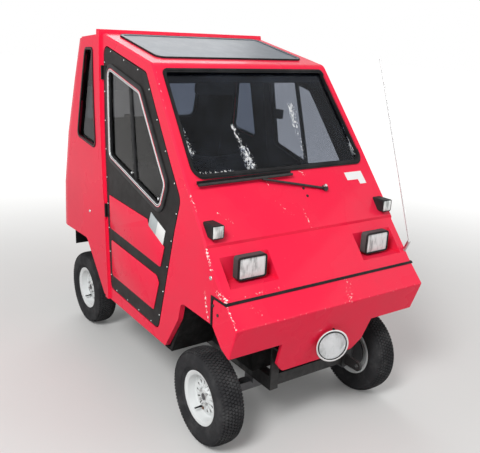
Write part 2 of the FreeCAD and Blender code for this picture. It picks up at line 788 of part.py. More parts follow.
def make_tail():
    """Rear moulding, its quarter windows and rear window, each pane with its rubber rim."""
    shell = tail_outer().cut(tail_inner(WALL, TAIL_FRONT))
    save("rear_shell", shell.cut(prism_x(QUARTER_WINDOW, -FAR, FAR)).cut(rear_opening(0.0)))

    width, proud = QUARTER_RIM
    pane = wall_layer(-QUARTER_INSET, QUARTER_INSET + GLASS).common(prism_x(QUARTER_WINDOW, 0.0, FAR))
    ring = prism_x(QUARTER_WINDOW, 0.0, FAR).cut(prism_x(moved_corners(QUARTER_WINDOW, width), 0.0, FAR))
    window = fused([pane, wall_layer(proud, QUARTER_INSET + GLASS).common(ring)])
    for name, side in SIDES:
        save("quarter_window_" + name, mirrored(window, side))

    behind = tail_inner(GLASS_INSET + GLASS, TAIL_FRONT)
    pane = tail_inner(GLASS_INSET, TAIL_FRONT).common(rear_opening(0.0)).cut(behind)
    ring = rear_opening(0.0).cut(rear_opening(width))
    save("rear_window", fused([pane, tail_inner(-proud, TAIL_FRONT).common(ring).cut(behind)]))


def bumper_face_y(z):
    """Place of the bumper's leaning front face at height z."""
    run = BUMPER_FOOT[0] - BUMPER_EDGE[0]
    rise = BUMPER_EDGE[1] - BUMPER_FOOT[1]
    return BUMPER_EDGE[0] + (BUMPER_EDGE[1] - z) * run / rise


def skirt_slab():
    """Sheet in line with the bumper's leaning front face, for the centre skirt."""
    low, high = SKIRT[2][1] - SKIN, SKIRT[0][1]
    corners = [(bumper_face_y(high), high), (bumper_face_y(low), low)]
    corners += [(bumper_face_y(low) + SKIN, low), (bumper_face_y(high) + SKIN, high)]
    return prism_x(corners, -FAR, FAR)


def make_bumper():
    """Moulded bumper across the nose with its centre skirt, and the rubber strip above it."""
    top_z = SEAM_Z - SEAM_HALF
    back_y = SEAM_Y - SEAM_HALF
    outer = prism_x([
        (back_y, ARCH_TOP_Z),
        (back_y, top_z, SKIN),
        (slope_y(top_z), top_z, BUMPER_ROUND),
        BUMPER_EDGE + (BUMPER_ROUND + 2.0,),
        BUMPER_FOOT + (BUMPER_ROUND,),
        BUMPER_UNDER,
    ], -FAR, FAR).common(body_section(0.0))
    inner = prism_x([
        (WELL_Y, 0.0),
        (WELL_Y, top_z - SKIN),
        (slope_y(top_z) + BUMPER_ROUND, top_z - SKIN),
        (BUMPER_EDGE[0] + SKIN + 2.0, BUMPER_EDGE[1] - 2.0),
        (BUMPER_FOOT[0] + SKIN + 1.0, BUMPER_FOOT[1]),
        (BUMPER_FOOT[0] + SKIN + 1.0, 0.0),
    ], -FAR, FAR).common(body_section(-SKIN))
    front = wall_edges(outer, 0.0, lambda m: m.y < slope_y(top_z) and m.z > BUMPER_FOOT[1])
    skirt = skirt_slab().common(prism_y(both_sides(SKIRT), -FAR, 0.0))
    save("nose_bumper", outer.makeFillet(BUMPER_ROUND, front).cut(inner).fuse(skirt))

    low, high = SEAM_Z - SEAM_HALF, SEAM_Z + SEAM_HALF
    strip = prism_x([
        (SEAM_Y + SEAM_HALF, ARCH_TOP_Z),
        (SEAM_Y + SEAM_HALF, high),
        (slope_y(high) - SEAM_PROUD, high),
        (slope_y(low) - SEAM_PROUD, low),
        (back_y - SKIN, low),
        (back_y, low - SKIN),
        (back_y, ARCH_TOP_Z),
    ], -FAR, FAR).common(body_section(SEAM_PROUD))
    hollow = body_section(-SKIN).common(box(-FAR, FAR, slope_y(SEAM_Z) + SKIN, FAR, 0.0, FAR))
    save("bumper_seal", strip.cut(hollow).cut(outer))


def make_headlamps():
    """Rectangular lamps with a tapered bowl and a fluted lens in a recessed rim."""
    back_y = LAMP_Y + LAMP_RIM
    rim = plate_y(LAMP_X, LAMP_Z, 0.0, LAMP_ROUND, LAMP_Y, back_y)
    recess = plate_y(LAMP_X, LAMP_Z, LAMP_RECESS[0], LAMP_ROUND, LAMP_Y, LAMP_Y + LAMP_RECESS[1])
    lens = plate_y(LAMP_X, LAMP_Z, LENS_EDGE, LAMP_ROUND, LENS_Y[0], LENS_Y[1])
    first_x = LAMP_X[0] + LENS_EDGE + BITE
    pitch = (LAMP_X[1] - LENS_EDGE - BITE - first_x) / FLUTES
    off, radius = [share * pitch for share in FLUTE_REACH]
    for index in range(FLUTES):
        low = V(first_x + pitch * (index + 0.5), LENS_Y[0] - off, LAMP_Z[0])
        lens = lens.cut(rod(low, low + V(0, 0, LAMP_Z[1] - LAMP_Z[0]), radius))
    wires = []
    for (edge_x, edge_z), y in zip(BOWL_EDGE, (back_y, POCKET_Y)):
        x_from, x_to = LAMP_X[0] + edge_x, LAMP_X[1] - edge_x
        z_from, z_to = LAMP_Z[0] + edge_z, LAMP_Z[1] - edge_z
        corners = [(x_from, z_from), (x_to, z_from), (x_to, z_to), (x_from, z_to)]
        wires.append(outline([corner + (LAMP_ROUND - BITE,) for corner in corners], vec_y(y)))
    bowl = Part.makeLoft(wires, True, True)
    lamp = fused([rim.cut(recess), lens, bowl])
    for name, side in SIDES:
        save("headlamp_" + name, mirrored(lamp, side))


def make_lamps():
    """Indicator pods, tail lamps and the round lamp on the skirt."""
    nose = front_block()
    pod_x = (POD_X - POD_SIZE / 2, POD_X + POD_SIZE / 2)
    pod_z = (POD_Z - POD_SIZE / 2, POD_Z + POD_SIZE / 2)
    recess_edge, recess = POD_RECESS
    lens_edge, lens_proud = POD_LENS
    pod = plate_y(pod_x, pod_z, 0.0, POD_ROUND, POD_Y, POD_Y + 2 * POD_SIZE)
    pod = pod.cut(plate_y(pod_x, pod_z, recess_edge, POD_ROUND, POD_Y, POD_Y + recess)).cut(nose)
    pod = pod.fuse(plate_y(pod_x, pod_z, lens_edge, POD_ROUND, POD_Y - lens_proud, POD_Y + recess + BITE))
    tail = tail_outer()
    tail_y = CAR_REAR + TAIL_LAMP_PROUD
    block = plate_y(TAIL_LAMP_X, TAIL_LAMP_Z, 0.0, LAMP_ROUND, CAR_REAR - TAIL_LAMP_DEPTH, tail_y).cut(tail)
    third = (TAIL_LAMP_Z[1] - TAIL_LAMP_Z[0]) / 3
    wide, deep = TAIL_GROOVE
    for step in (1, 2):
        low = TAIL_LAMP_Z[0] + third * step - wide / 2
        block = block.cut(box(TAIL_LAMP_X[0], TAIL_LAMP_X[1], tail_y - deep, tail_y, low, low + wide))
    for name, side in SIDES:
        save("indicator_" + name, mirrored(pod, side))
        save("tail_lamp_" + name, mirrored(block, side))

    ring = [V(SPOT_RADIUS - inwards, 0, back) for inwards, back in SPOT_RING]
    top, shoulder, rim = SPOT_DOME
    dome = Part.Arc(V(0, 0, top), V(ring[0].x / 2, 0, shoulder), V(ring[0].x, 0, rim)).toShape()
    bowl = ring + [V(SPOT_BACK, 0, SPOT_DEPTH), V(0, 0, SPOT_DEPTH), V(0, 0, top)]
    wire = Part.Wire([dome] + Part.makePolygon(bowl).Edges)
    lamp = Part.Face(wire).revolve(V(0, 0, 0), V(0, 0, 1), 360)
    spot_way = V(math.sin(SPOT_TURN), math.cos(SPOT_TURN), 0)
    lamp.Placement = FreeCAD.Placement(SPOT_FACE, FreeCAD.Rotation(V(0, 0, 1), spot_way))
    back = SPOT_FACE + spot_way * (SPOT_DEPTH - BITE)
    stud = rod(back, back + V(0, SPOT_DEPTH, 0), SPOT_STUD)
    save("spot_lamp", lamp.fuse(stud).cut(skirt_slab()))


def make_pan():
    """Floor, footwell, wheel housings and rear deck as one folded pan, and the rubber apron behind it."""
    tail_room = tail_inner(WALL + SEAT_GAP, TAIL_FRONT)
    floor_front, floor_back = FLOOR_Y
    rear = prism_x([
        (floor_back, FLOOR_Z),
        (floor_back + FLOOR_RAMP, FLOOR_Z),
        (DECK_Y[0], DECK_Z),
        (DECK_Y[1], DECK_Z),
        (DECK_Y[1], DECK_Z + SHEET),
        (DECK_Y[0] - SHEET / 2, DECK_Z + SHEET),
        (floor_back, FLOOR_Z + FLOOR_RAMP),
    ], -PAN_HALF, PAN_HALF).common(tail_room)
    shapes = [
        rear,
        box(-PAN_HALF, PAN_HALF, floor_front, floor_back, FLOOR_Z, FLOOR_Z + SHEET),
        box(-WELL_HALF, WELL_HALF, WELL_Y, floor_front, FLOOR_Z, FLOOR_Z + SHEET),
        box(-WELL_HALF, WELL_HALF, WELL_Y - SHEET, WELL_Y, FLOOR_Z, WELL_TOP_Z),
    ]
    top = HOUSING_TOP_Z
    bend_y, bend_z = HOUSING_BEND
    cheek = prism_x([
        (floor_front, FLOOR_Z), (bend_y, bend_z), (HOUSING_TOP_Y, top), (WELL_Y, top), (WELL_Y, FLOOR_Z),
    ], WELL_HALF - SHEET, WELL_HALF)
    housing = prism_x([
        (floor_front, FLOOR_Z),
        (floor_front, FLOOR_Z + SHEET),
        (bend_y + SHEET, bend_z),
        (HOUSING_TOP_Y + SHEET, top + SHEET),
        (WELL_Y - SHEET, top + SHEET),
        (WELL_Y - SHEET, top),
        (HOUSING_TOP_Y, top),
        (bend_y, bend_z),
        (floor_front - SHEET, FLOOR_Z),
    ], WELL_HALF - SHEET, PAN_HALF)
    for _, side in SIDES:
        shapes += [mirrored(cheek, side), mirrored(housing, side)]
    save("floor_pan", fused(shapes))
    apron = box(-PAN_HALF, PAN_HALF, APRON_Y[0], APRON_Y[1], APRON_FOOT_Z, DECK_Z)
    save("rear_apron", apron.common(tail_room))


def make_frame():
    """Two long rails, cross members and the brackets that carry the bumper and the tow eyes."""
    x_from, x_to = RAIL_X
    front, back = RAIL_Y
    left = [
        box(x_from, x_to, front, back, RAIL_Z[0], RAIL_Z[1]),
        box(x_from, x_to, front, front + BRACKET, RAIL_Z[0], BRACKET_TOP_Z),
        box(x_from, x_to, front - BRACKET_REACH, front + BRACKET, BRACKET_TOP_Z - BRACKET, BRACKET_TOP_Z),
    ]
    shapes = [mirrored(piece, side) for _, side in SIDES for piece in left]
    for y in CROSS_Y:
        shapes.append(box(-x_from, x_from, y, y + CROSS_WIDTH, RAIL_Z[0] + TOW_HOLE, RAIL_Z[1]))
    middle_x = (x_from + x_to) / 2
    middle_z = (RAIL_Z[0] + RAIL_Z[1]) / 2
    for rail_end, way, reach in TOW_PLATES:
        hole_y = rail_end + way * reach
        thick = (middle_x - TOW_THICK / 2, middle_x + TOW_THICK / 2)
        y_from, y_to = sorted((rail_end, hole_y))
        plate = box(thick[0], thick[1], y_from, y_to, middle_z - TOW_ROUND, middle_z + TOW_ROUND)
        plate = plate.fuse(across(thick[0], thick[1], TOW_ROUND, hole_y, middle_z))
        shapes.append(plate.cut(across(thick[0], thick[1], TOW_HOLE, hole_y, middle_z)))
    save("chassis_frame", fused(shapes).cut(skirt_slab()))


def make_front_axle():
    """Beam with a fork and a fixed kingpin at each end, and a spring block under each rail."""
    y = FRONT_AXLE_Y
    half_x, half_y, half_z = BEAM_HALF
    root_half, fork_half = FORK_HALF
    block_half, block_foot = SPRING_BLOCK
    foot_z = KING_Z[0] - FORK - FORK_GAP
    head_z = KING_Z[1] + FORK_GAP
    end = [
        box(FORK_ROOT_X[0], FORK_ROOT_X[1], y - root_half, y + root_half, foot_z, head_z + FORK),
        Part.makeCylinder(PIN, head_z - foot_z + FORK + 2 * BITE, V(KINGPIN_X, y, foot_z - BITE)),
        box(RAIL_X[0] + BITE, RAIL_X[1] - BITE, y - block_half, y + block_half,
            HUB_Z + block_foot, RAIL_Z[0]),
    ]
    for z in (foot_z, head_z):
        end.append(box(FORK_ROOT_X[0] + BITE, KINGPIN_X, y - fork_half, y + fork_half, z, z + FORK))
        end.append(Part.makeCylinder(fork_half, FORK, V(KINGPIN_X, y, z)))
    beam = box(-half_x, half_x, y - half_y, y + half_y, HUB_Z - half_z, HUB_Z + half_z)
    save("front_axle", fused([beam] + [mirrored(piece, side) for _, side in SIDES for piece in end]))


def make_knuckles():
    """Sleeve on the kingpin with the stub axle, the brake plate and the steering arm."""
    y = FRONT_AXLE_Y
    sleeve = Part.makeCylinder(SLEEVE, KING_Z[1] - KING_Z[0], V(KINGPIN_X, y, KING_Z[0]))
    stub = across(KINGPIN_X, FRONT_TYRE_X + STUB_PAST, STUB, y, HUB_Z)
    plate = across(FRONT_TYRE_X - PLATE_IN[0], FRONT_TYRE_X - PLATE_IN[1], PLATE_RADIUS, y, HUB_Z)
    arm_half, arm_low, arm_high = ARM
    arm_z = KING_Z[0] + arm_low
    arm = box(KINGPIN_X - arm_half, KINGPIN_X + arm_half, y, y + ARM_LENGTH, arm_z, arm_z + arm_high)
    bore = Part.makeCylinder(PIN + FIT, HUB_Z * 1.5, V(KINGPIN_X, y, KING_Z[0] / 2))
    knuckle = fused([sleeve, stub, plate, arm]).cut(bore)
    for name, side in SIDES:
        save("knuckle_" + name, mirrored(knuckle, side))


def make_rear_axle():
    """Live axle with its final drive, brake plates, stubs and leaf springs, the motor and the batteries."""
    y = REAR_AXLE_Y
    plate_x = (REAR_TYRE_X - PLATE_IN[0], REAR_TYRE_X - PLATE_IN[1])
    shapes = [
        across(-plate_x[0], plate_x[0], TUBE, y, HUB_Z),
        across(-DRIVE_HALF, DRIVE_HALF, DRIVE_RADIUS, y, HUB_Z),
    ]
    spring_x = (RAIL_X[0] + BITE, RAIL_X[1] - BITE)
    left = [
        across(plate_x[0], plate_x[1], PLATE_RADIUS, y, HUB_Z),
        across(plate_x[0], REAR_TYRE_X + STUB_PAST, STUB, y, HUB_Z),
    ]
    for half_length, height in LEAVES:
        z = HUB_Z + height
        left.append(box(spring_x[0], spring_x[1], y - half_length, y + half_length, z, z + LEAF))
    shackle_z = HUB_Z + LEAVES[0][1]
    for end in (y - LEAVES[0][0], y + LEAVES[0][0] - SHACKLE):
        left.append(box(spring_x[0], spring_x[1], end, end + SHACKLE, shackle_z, RAIL_Z[0]))
    save("rear_axle", fused(shapes + [mirrored(piece, side) for _, side in SIDES for piece in left]))
    motor_half, motor_front, low, high = MOTOR
    save("drive_motor", box(-motor_half, motor_half, y - motor_front, y - DRIVE_RADIUS - SEAT_GAP, low, high))
    battery_half, front, back = BATTERY
    save("battery_block", box(-battery_half, battery_half, front, back, FLOOR_Z + SHEET, BATTERY_TOP_Z))


def turned(profile, centre_x, y):
    """Turn (distance outboard, radius) points about a wheel's own axle."""
    points = [V(centre_x + out, y, HUB_Z + radius) for out, radius in profile]
    face = Part.Face(Part.makePolygon(points + points[:1]))
    return face.revolve(V(centre_x, y, HUB_Z), V(1, 0, 0), 360)


def make_wheels():
    """Dished rims with ribs about the hub, and tyres with a square shoulder."""
    edge = BEAD_HALF + FLANGE
    rim_profile = [
        (-22.0, STUB + FIT), (18.0, STUB + FIT), (18.0, 30.0), (9.0, 36.0), (DISC_FACE, 70.0),
        (4.0, 76.0), (4.0, 86.0), (8.0, RIM_SEAT - 12.0), (20.0, RIM_SEAT - 9.0),
        (BEAD_HALF - 1.0, RIM_SEAT - STEEL), (edge, RIM_EDGE - STEEL), (edge, RIM_EDGE),
        (BEAD_HALF, RIM_EDGE), (BEAD_HALF, RIM_SEAT), (-BEAD_HALF, RIM_SEAT), (-BEAD_HALF, RIM_EDGE),
        (-edge, RIM_EDGE), (-edge, RIM_EDGE - STEEL), (-BEAD_HALF, RIM_SEAT - STEEL),
        (-8.0, RIM_SEAT - 10.0), (-4.0, 86.0), (-4.0, 44.0), (-22.0, 40.0),
    ]
    half = TYRE_WIDTH / 2
    tyre_profile = [
        (-BEAD_HALF, RIM_SEAT), (BEAD_HALF, RIM_SEAT), (BEAD_HALF, RIM_EDGE), (BEAD_HALF + 8.0, 124.0),
        (half, 150.0), (half, 170.0), (half - 6.0, 188.0), (half - 16.0, 198.0), (half - 34.0, TYRE_RADIUS),
        (-half + 34.0, TYRE_RADIUS), (-half + 16.0, 198.0), (-half + 6.0, 188.0), (-half, 170.0),
        (-half, 150.0), (-BEAD_HALF - 8.0, 124.0), (-BEAD_HALF, RIM_EDGE),
    ]
    inner, outer, rib_wide, rib_high = RIB
    for place, centre_x, y in (("front", FRONT_TYRE_X, FRONT_AXLE_Y), ("rear", REAR_TYRE_X, REAR_AXLE_Y)):
        axle = V(centre_x, y, HUB_Z)
        face_x = centre_x + DISC_FACE
        rib = box(face_x - BITE, face_x + rib_high, y - rib_wide / 2, y + rib_wide / 2,
                  HUB_Z + inner, HUB_Z + outer)
        ribs = []
        for index in range(RIBS):
            spoke = rib.copy()
            spoke.rotate(axle, V(1, 0, 0), 360.0 * index / RIBS)
            ribs.append(spoke)
        rim = fused([turned(rim_profile, centre_x, y)] + ribs)
        tyre = turned(tyre_profile, centre_x, y)
        for name, side in SIDES:
            save(f"rim_{place}_{name}", mirrored(rim, side))
            save(f"tyre_{place}_{name}", mirrored(tyre, side))


def cushion_top_z(y):
    """Height of the seat cushion's top, which falls to the rear."""
    front_z, fall = CUSHION_TOP
    return front_z - (y - CUSHION_Y[0]) * fall


def make_seat():
    """Bench cushion and backrest, each with a groove between its two places."""
    half, depth = SEAT_SPLIT
    base_z = BATTERY_TOP_Z + SEAT_GAP
    front, back = CUSHION_Y
    foot_round, lip_round, back_round = CUSHION_ROUND
    cushion = prism_x([
        (front + lip_round / 3, base_z, foot_round),
        (front, cushion_top_z(front), lip_round),
        (back - back_round, cushion_top_z(back - back_round), back_round),
        (back, base_z, back_round),
    ], -SEAT_HALF, SEAT_HALF)
    save("seat_cushion", cushion.cut(box(-half, half, -FAR, FAR, cushion_top_z(back) - depth, FAR)))
    feet = [(y, cushion_top_z(y) + SEAT_GAP) for y in BACK_Y]
    foot_round, head_round = BACK_ROUND
    corners = [feet[0] + (foot_round,)]
    corners += [head + (head_round,) for head in BACK_HEAD]
    corners += [feet[1] + (foot_round,)]
    backrest = prism_x(corners, -SEAT_HALF, SEAT_HALF)
    lean = (BACK_HEAD[0][0] - BACK_Y[0]) / (BACK_HEAD[0][1] - feet[0][1])
    low = (BACK_Y[0] + depth - depth * lean, feet[0][1] - depth)
    high = (BACK_HEAD[0][0] + depth + depth * lean, BACK_HEAD[0][1] + depth)
    groove = prism_x([low, high, (low[0], high[1])], -half, half)
    save("seat_back", backrest.cut(groove))


def make_dashboard():
    """Hollow dashboard with the hood over its dial."""
    low, high = DASH_Z
    nose_high = slope_y(high, SKIN) + SEAT_GAP
    nose_low = slope_y(low, SKIN) + SEAT_GAP
    slant = DASH_SLANT
    top_round, face_round = DASH_ROUND
    outer = prism_x([
        (nose_high, high),
        (DASH_Y - slant, high, top_round),
        (DASH_Y, high - slant, face_round),
        (DASH_Y, low),
        (nose_low, low),
    ], -DASH_HALF, DASH_HALF)
    wall = DASH_WALL
    inner = prism_x([
        (nose_high - wall, high - wall),
        (DASH_Y - slant - wall / 3, high - wall),
        (DASH_Y - wall, high - slant - wall / 2),
        (DASH_Y - wall, low - wall),
        (nose_low - wall, low - wall),
    ], -DASH_HALF + wall, DASH_HALF - wall)
    hood_outline = [(DASH_Y + y, high + z, radius) for y, z, radius in HOOD]
    hood = prism_x(hood_outline, WHEEL_CENTRE.x - HOOD_HALF, WHEEL_CENTRE.x + HOOD_HALF)
    save("dashboard", fused([outer, hood]).cut(inner))


def make_steering():
    """Steering wheel on its column, which hangs from the dashboard."""
    tube, length = COLUMN
    hub_radius, hub_back, hub_front = HUB
    half, reach, deep = HANGER
    foot = WHEEL_CENTRE - COLUMN_WAY * length
    neck = WHEEL_CENTRE - COLUMN_WAY * (hub_back + BITE)
    hanger_y = DASH_Y - reach
    hanger_z = WHEEL_CENTRE.z + (hanger_y - WHEEL_CENTRE.y) * COLUMN_WAY.z / COLUMN_WAY.y
    hanger = box(WHEEL_CENTRE.x - half, WHEEL_CENTRE.x + half, hanger_y - deep, hanger_y + deep,
                 hanger_z, DASH_Z[1] - DASH_WALL - SEAT_GAP)
    save("steering_column", fused([rod(foot, neck, tube), rod(neck, WHEEL_CENTRE, SPIGOT), hanger]))
    shapes = [
        Part.makeTorus(STEER_RADIUS, STEER_RIM),
        Part.makeCylinder(hub_radius, hub_back + hub_front, V(0, 0, -hub_back)),
    ]
    for turn in SPOKES:
        angle = math.radians(turn)
        shapes.append(rod(V(0, 0, 0), V(math.cos(angle), math.sin(angle), 0) * STEER_RADIUS, SPOKE))
    wheel = fused(shapes).cut(Part.makeCylinder(SPIGOT + FIT, hub_back + BITE, V(0, 0, -hub_back)))
    wheel.Placement = FreeCAD.Placement(WHEEL_CENTRE, FreeCAD.Rotation(V(0, 0, 1), COLUMN_WAY))
    save("steering_wheel", wheel)


def make_mirror():
    """Mirror on a stem under the roof."""
    x, y, z = MIRROR
    half_x, half_y, half_z = [size / 2 for size in MIRROR_SIZE]
    face_x = (x - half_x, x + half_x)
    face_z = (z - half_z, z + half_z)
    glass = plate_y(face_x, face_z, 0.0, MIRROR_ROUND, y - half_y, y + half_y)
    stem = rod(V(x, y, z), V(x, y, ROOF_HALF[1]), MIRROR_STEM)
    ceiling = [(end, roof_z(end, WALL + SEAT_GAP)) for end in (-FAR, FAR)]
    above = prism_x(ceiling + [(FAR, 2 * FAR), (-FAR, 2 * FAR)], -FAR, FAR)
    save("interior_mirror", fused([glass, stem]).cut(above))


def make_outside():
    """Wiper on the hood and aerial beside the left headlamp."""
    def off_slope(x_z, lift):
        return V(x_z[0], slope_y(x_z[1], -lift), x_z[1])

    nose = front_block()
    pivot = off_slope(WIPER_PIVOT, WIPER_LIFT)
    elbow = off_slope(WIPER_ELBOW, 2 * WIPER_LIFT)
    blade = [off_slope(end, 2 * WIPER_LIFT) for end in WIPER_BLADE]
    boss = rod(off_slope(WIPER_PIVOT, 0.0), off_slope(WIPER_PIVOT, 2 * WIPER_LIFT), WIPER_BOSS)
    arm = rod(pivot, elbow, WIPER_ARM)
    save("wiper", fused([boss, arm, rod(blade[0], blade[1], WIPER_RUBBER)]).cut(nose))
    base = V(AERIAL_X, slope_y(AERIAL_Z[0], AERIAL_SUNK), AERIAL_Z[0])
    neck = V(AERIAL_X, slope_y(AERIAL_Z[0]) - AERIAL_OUT, AERIAL_Z[1])
    tip = V(AERIAL_X, AERIAL_TIP[0], AERIAL_TIP[1])
    foot_radius, whip_radius = AERIAL_RADIUS
    foot = rod(base, neck, foot_radius).cut(nose)
    whip = rod(neck - (tip - neck).normalize() * 2 * BITE, tip, whip_radius)
    save("aerial", foot.fuse(whip))


def main():
    """Build every piece of the car."""
    os.makedirs("parts", exist_ok=True)
    make_front()
    make_doors()
    make_screen()
    make_band()
    make_tail()
    make_bumper()
    make_headlamps()
    make_lamps()
    make_pan()
    make_frame()
    make_front_axle()
    make_knuckles()
    make_rear_axle()
    make_wheels()
    make_seat()
    make_dashboard()
    make_steering()
    make_mirror()
    make_outside()


main()
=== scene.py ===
import logging
import math
from dataclasses import dataclass
from enum import Enum
from typing import Any, Callable, Sequence

import bmesh
import bpy
from mathutils import Matrix, Vector


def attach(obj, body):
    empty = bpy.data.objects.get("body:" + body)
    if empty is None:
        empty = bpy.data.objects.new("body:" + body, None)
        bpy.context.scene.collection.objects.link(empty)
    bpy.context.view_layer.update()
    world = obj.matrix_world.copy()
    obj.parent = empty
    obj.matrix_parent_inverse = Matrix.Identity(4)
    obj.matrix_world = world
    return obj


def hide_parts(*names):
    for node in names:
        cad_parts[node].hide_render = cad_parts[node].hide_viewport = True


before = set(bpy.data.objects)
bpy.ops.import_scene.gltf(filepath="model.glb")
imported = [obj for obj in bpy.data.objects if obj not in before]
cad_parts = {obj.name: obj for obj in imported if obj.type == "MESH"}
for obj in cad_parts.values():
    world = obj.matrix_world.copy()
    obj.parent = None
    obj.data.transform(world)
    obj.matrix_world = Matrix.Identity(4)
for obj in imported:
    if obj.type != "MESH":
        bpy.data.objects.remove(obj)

LOG = logging.getLogger("microcar")

Point = tuple[float, float, float]
Pair = tuple[float, float]
Colour = Point
Corner = Sequence[float]
Place = Callable[[float, float, float], Point]

MM = 0.001


class Body(Enum):
    """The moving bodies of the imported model."""

    CAR = "car"
    STEERING = "steering_wheel"


class Side(Enum):
    """The car's two sides, with the sign of X on each."""

    LEFT = 1.0
    RIGHT = -1.0

    @property
    def word(self) -> str:
        """The side's name as the nodes spell it."""
        return self.name.lower()


class Slot(Enum):
    """Material slots of the record."""

    RED = "red_moulding"
    RUBBER = "black_rubber"
    TYRE = "tyre"
    GLASS = "glass"
    WHITE = "white_steel"
    GREY_STEEL = "grey_steel"
    STEEL = "bright_steel"
    CHROME = "chrome"
    BLACK_PLASTIC = "black_plastic"
    GREY_PLASTIC = "grey_plastic"
    CLOTH = "seat_cloth"
    RED_LENS = "red_lens"


# Form of the body in millimetres, as the solids have it
NOSE_FOOT = (-847.0, 700.0)
ROOF_FRONT = (-210.0, 1492.0)
ROOF_BAND = (335.0, 1600.0)
WAIST_Z = 865.0
FOOT_HALF = (485.0, 250.0)
WAIST_HALF = 492.0
WALL_ARC_CENTRE = (-12790.49, 516.73)
WALL_ARC_RADIUS = 13287.05
TAIL_SECTIONS = (
    (300.0, 925.0, 190.0), (560.0, 925.0, 190.0), (800.0, 900.0, 185.0),
    (1080.0, 832.0, 165.0), (1360.0, 739.0, 140.0), (1640.0, 645.0, 110.0),
)
SLOPE_RUN = ROOF_FRONT[0] - NOSE_FOOT[0]
SLOPE_RISE = ROOF_FRONT[1] - NOSE_FOOT[1]
SLOPE_LENGTH = math.hypot(SLOPE_RUN, SLOPE_RISE)

# The same form in metres, as the mask of the near-black inside faces reads it, which are partly a dark inner
# finish and partly painted shade of the cabin: half width at the waist less the wall, how the wall leans and
# bends over the waist, the rear roof's plane, a point in the middle of the cabin, and where the lamp pockets end
INNER_HALF = 0.487
WALL_LEAN = 0.0262
WALL_BEND = 0.0378
REAR_ROOF_RISE = -0.094
REAR_ROOF_Z = 1.622
CABIN_CENTRE = (0.0, 0.10, 0.95)
POCKETS_END = (-0.702, -0.700)


def half_width(z: float) -> float:
    """Half width of the body at a height.

    Args:
        z: Height in millimetres.

    Returns:
        Half width in millimetres.
    """
    if z <= WAIST_Z:
        return FOOT_HALF[0] + (z - FOOT_HALF[1]) * (WAIST_HALF - FOOT_HALF[0]) / (WAIST_Z - FOOT_HALF[1])
    return WALL_ARC_CENTRE[0] + math.sqrt(WALL_ARC_RADIUS ** 2 - (z - WALL_ARC_CENTRE[1]) ** 2)


def slope_y(z: float) -> float:
    """Place along the car of the nose and windscreen plane at a height, in millimetres."""
    return NOSE_FOOT[0] + (z - NOSE_FOOT[1]) * SLOPE_RUN / SLOPE_RISE


def roof_z(y: float) -> float:
    """Height of the front roof plane at a place along the car, in millimetres."""
    rise = (ROOF_BAND[1] - ROOF_FRONT[1]) / (ROOF_BAND[0] - ROOF_FRONT[0])
    return ROOF_FRONT[1] + (y - ROOF_FRONT[0]) * rise


def on_side(side: Side) -> Place:
    """Map of (y, z, outwards) onto the side wall."""
    return lambda y, z, out: (side.value * (half_width(z) + out), y, z)


def on_slope(x: float, z: float, out: float) -> Point:
    """Map of (x, z, outwards) onto the nose and windscreen plane."""
    return (x, slope_y(z) - out * SLOPE_RISE / SLOPE_LENGTH, z + out * SLOPE_RUN / SLOPE_LENGTH)


def on_roof(x: float, y: float, out: float) -> Point:
    """Map of (x, y, outwards) onto the front roof plane."""
    return (x, y, roof_z(y) + out)


def tail_at(z: float) -> Pair:
    """Rear face and corner radius of the tail at a height.

    Args:
        z: Height in millimetres.

    Returns:
        Y of the face and radius of the corner.
    """
    for (low, low_y, low_r), (high, high_y, high_r) in zip(TAIL_SECTIONS, TAIL_SECTIONS[1:]):
        if z <= high or high == TAIL_SECTIONS[-1][0]:
            share = (z - low) / (high - low)
            return low_y + share * (high_y - low_y), low_r + share * (high_r - low_r)
    raise ValueError("no section")


def on_tail(x: float, z: float, out: float) -> Point:
    """Map of (x, z, outwards) onto the rear face with its rounded corners.

    Args:
        x: Place across the car.
        z: Height.
        out: Distance outwards from the face.

    Returns:
        The point.
    """
    face_y, radius = tail_at(z)
    past = abs(x) - (half_width(z) - radius)
    if past <= 0.0:
        return (x, face_y + out, z)
    turn = math.asin(min(past / radius, 0.999))
    reach = radius + out
    across = half_width(z) - radius + reach * math.sin(turn)
    return (math.copysign(across, x), face_y - radius + reach * math.cos(turn), z)


def facing_front(x: float, y: float, z: float) -> Place:
    """Map of (across, up, forwards) from a point onto an upright plane that faces the front."""
    return lambda u, v, w: (x + u, y - w, z + v)


def grown(corners: Sequence[Corner], grow: float) -> list[Point]:
    """An outline with each side moved outwards.

    Args:
        corners: Corners of the outline as (u, v) or (u, v, radius).
        grow: Distance outwards.

    Returns:
        The new corners with their radii.
    """
    count = len(corners)
    middle = Vector((sum(c[0] for c in corners) / count, sum(c[1] for c in corners) / count))
    lines = []
    for index in range(count):
        start, end = Vector(corners[index][:2]), Vector(corners[(index + 1) % count][:2])
        way = (end - start).normalized()
        normal = Vector((-way.y, way.x))
        if normal.dot(middle - start) > 0:
            normal = -normal
        lines.append((start + normal * grow, way))
    result = []
    for index in range(count):
        (start, way), (other, other_way) = lines[index - 1], lines[index]
        cross = way.x * other_way.y - way.y * other_way.x
        reach = ((other.x - start.x) * other_way.y - (other.y - start.y) * other_way.x) / cross
        point = start + way * reach
        radius = corners[index][2] if len(corners[index]) > 2 else 0.0
        result.append((point.x, point.y, max(radius + grow, 0.0)))
    return result


def square(width: float, height: float, radius: float) -> list[Point]:
    """Corners of a rounded rectangle about the origin."""
    x, z = width / 2, height / 2
    return [(-x, -z, radius), (x, -z, radius), (x, z, radius), (-x, z, radius)]


@dataclass(frozen=True)
class Scrape:
    """A line along which the finish is chipped or splashed, in metres, with its reach and share."""

    start: Point
    end: Point
    reach: float
    share: float


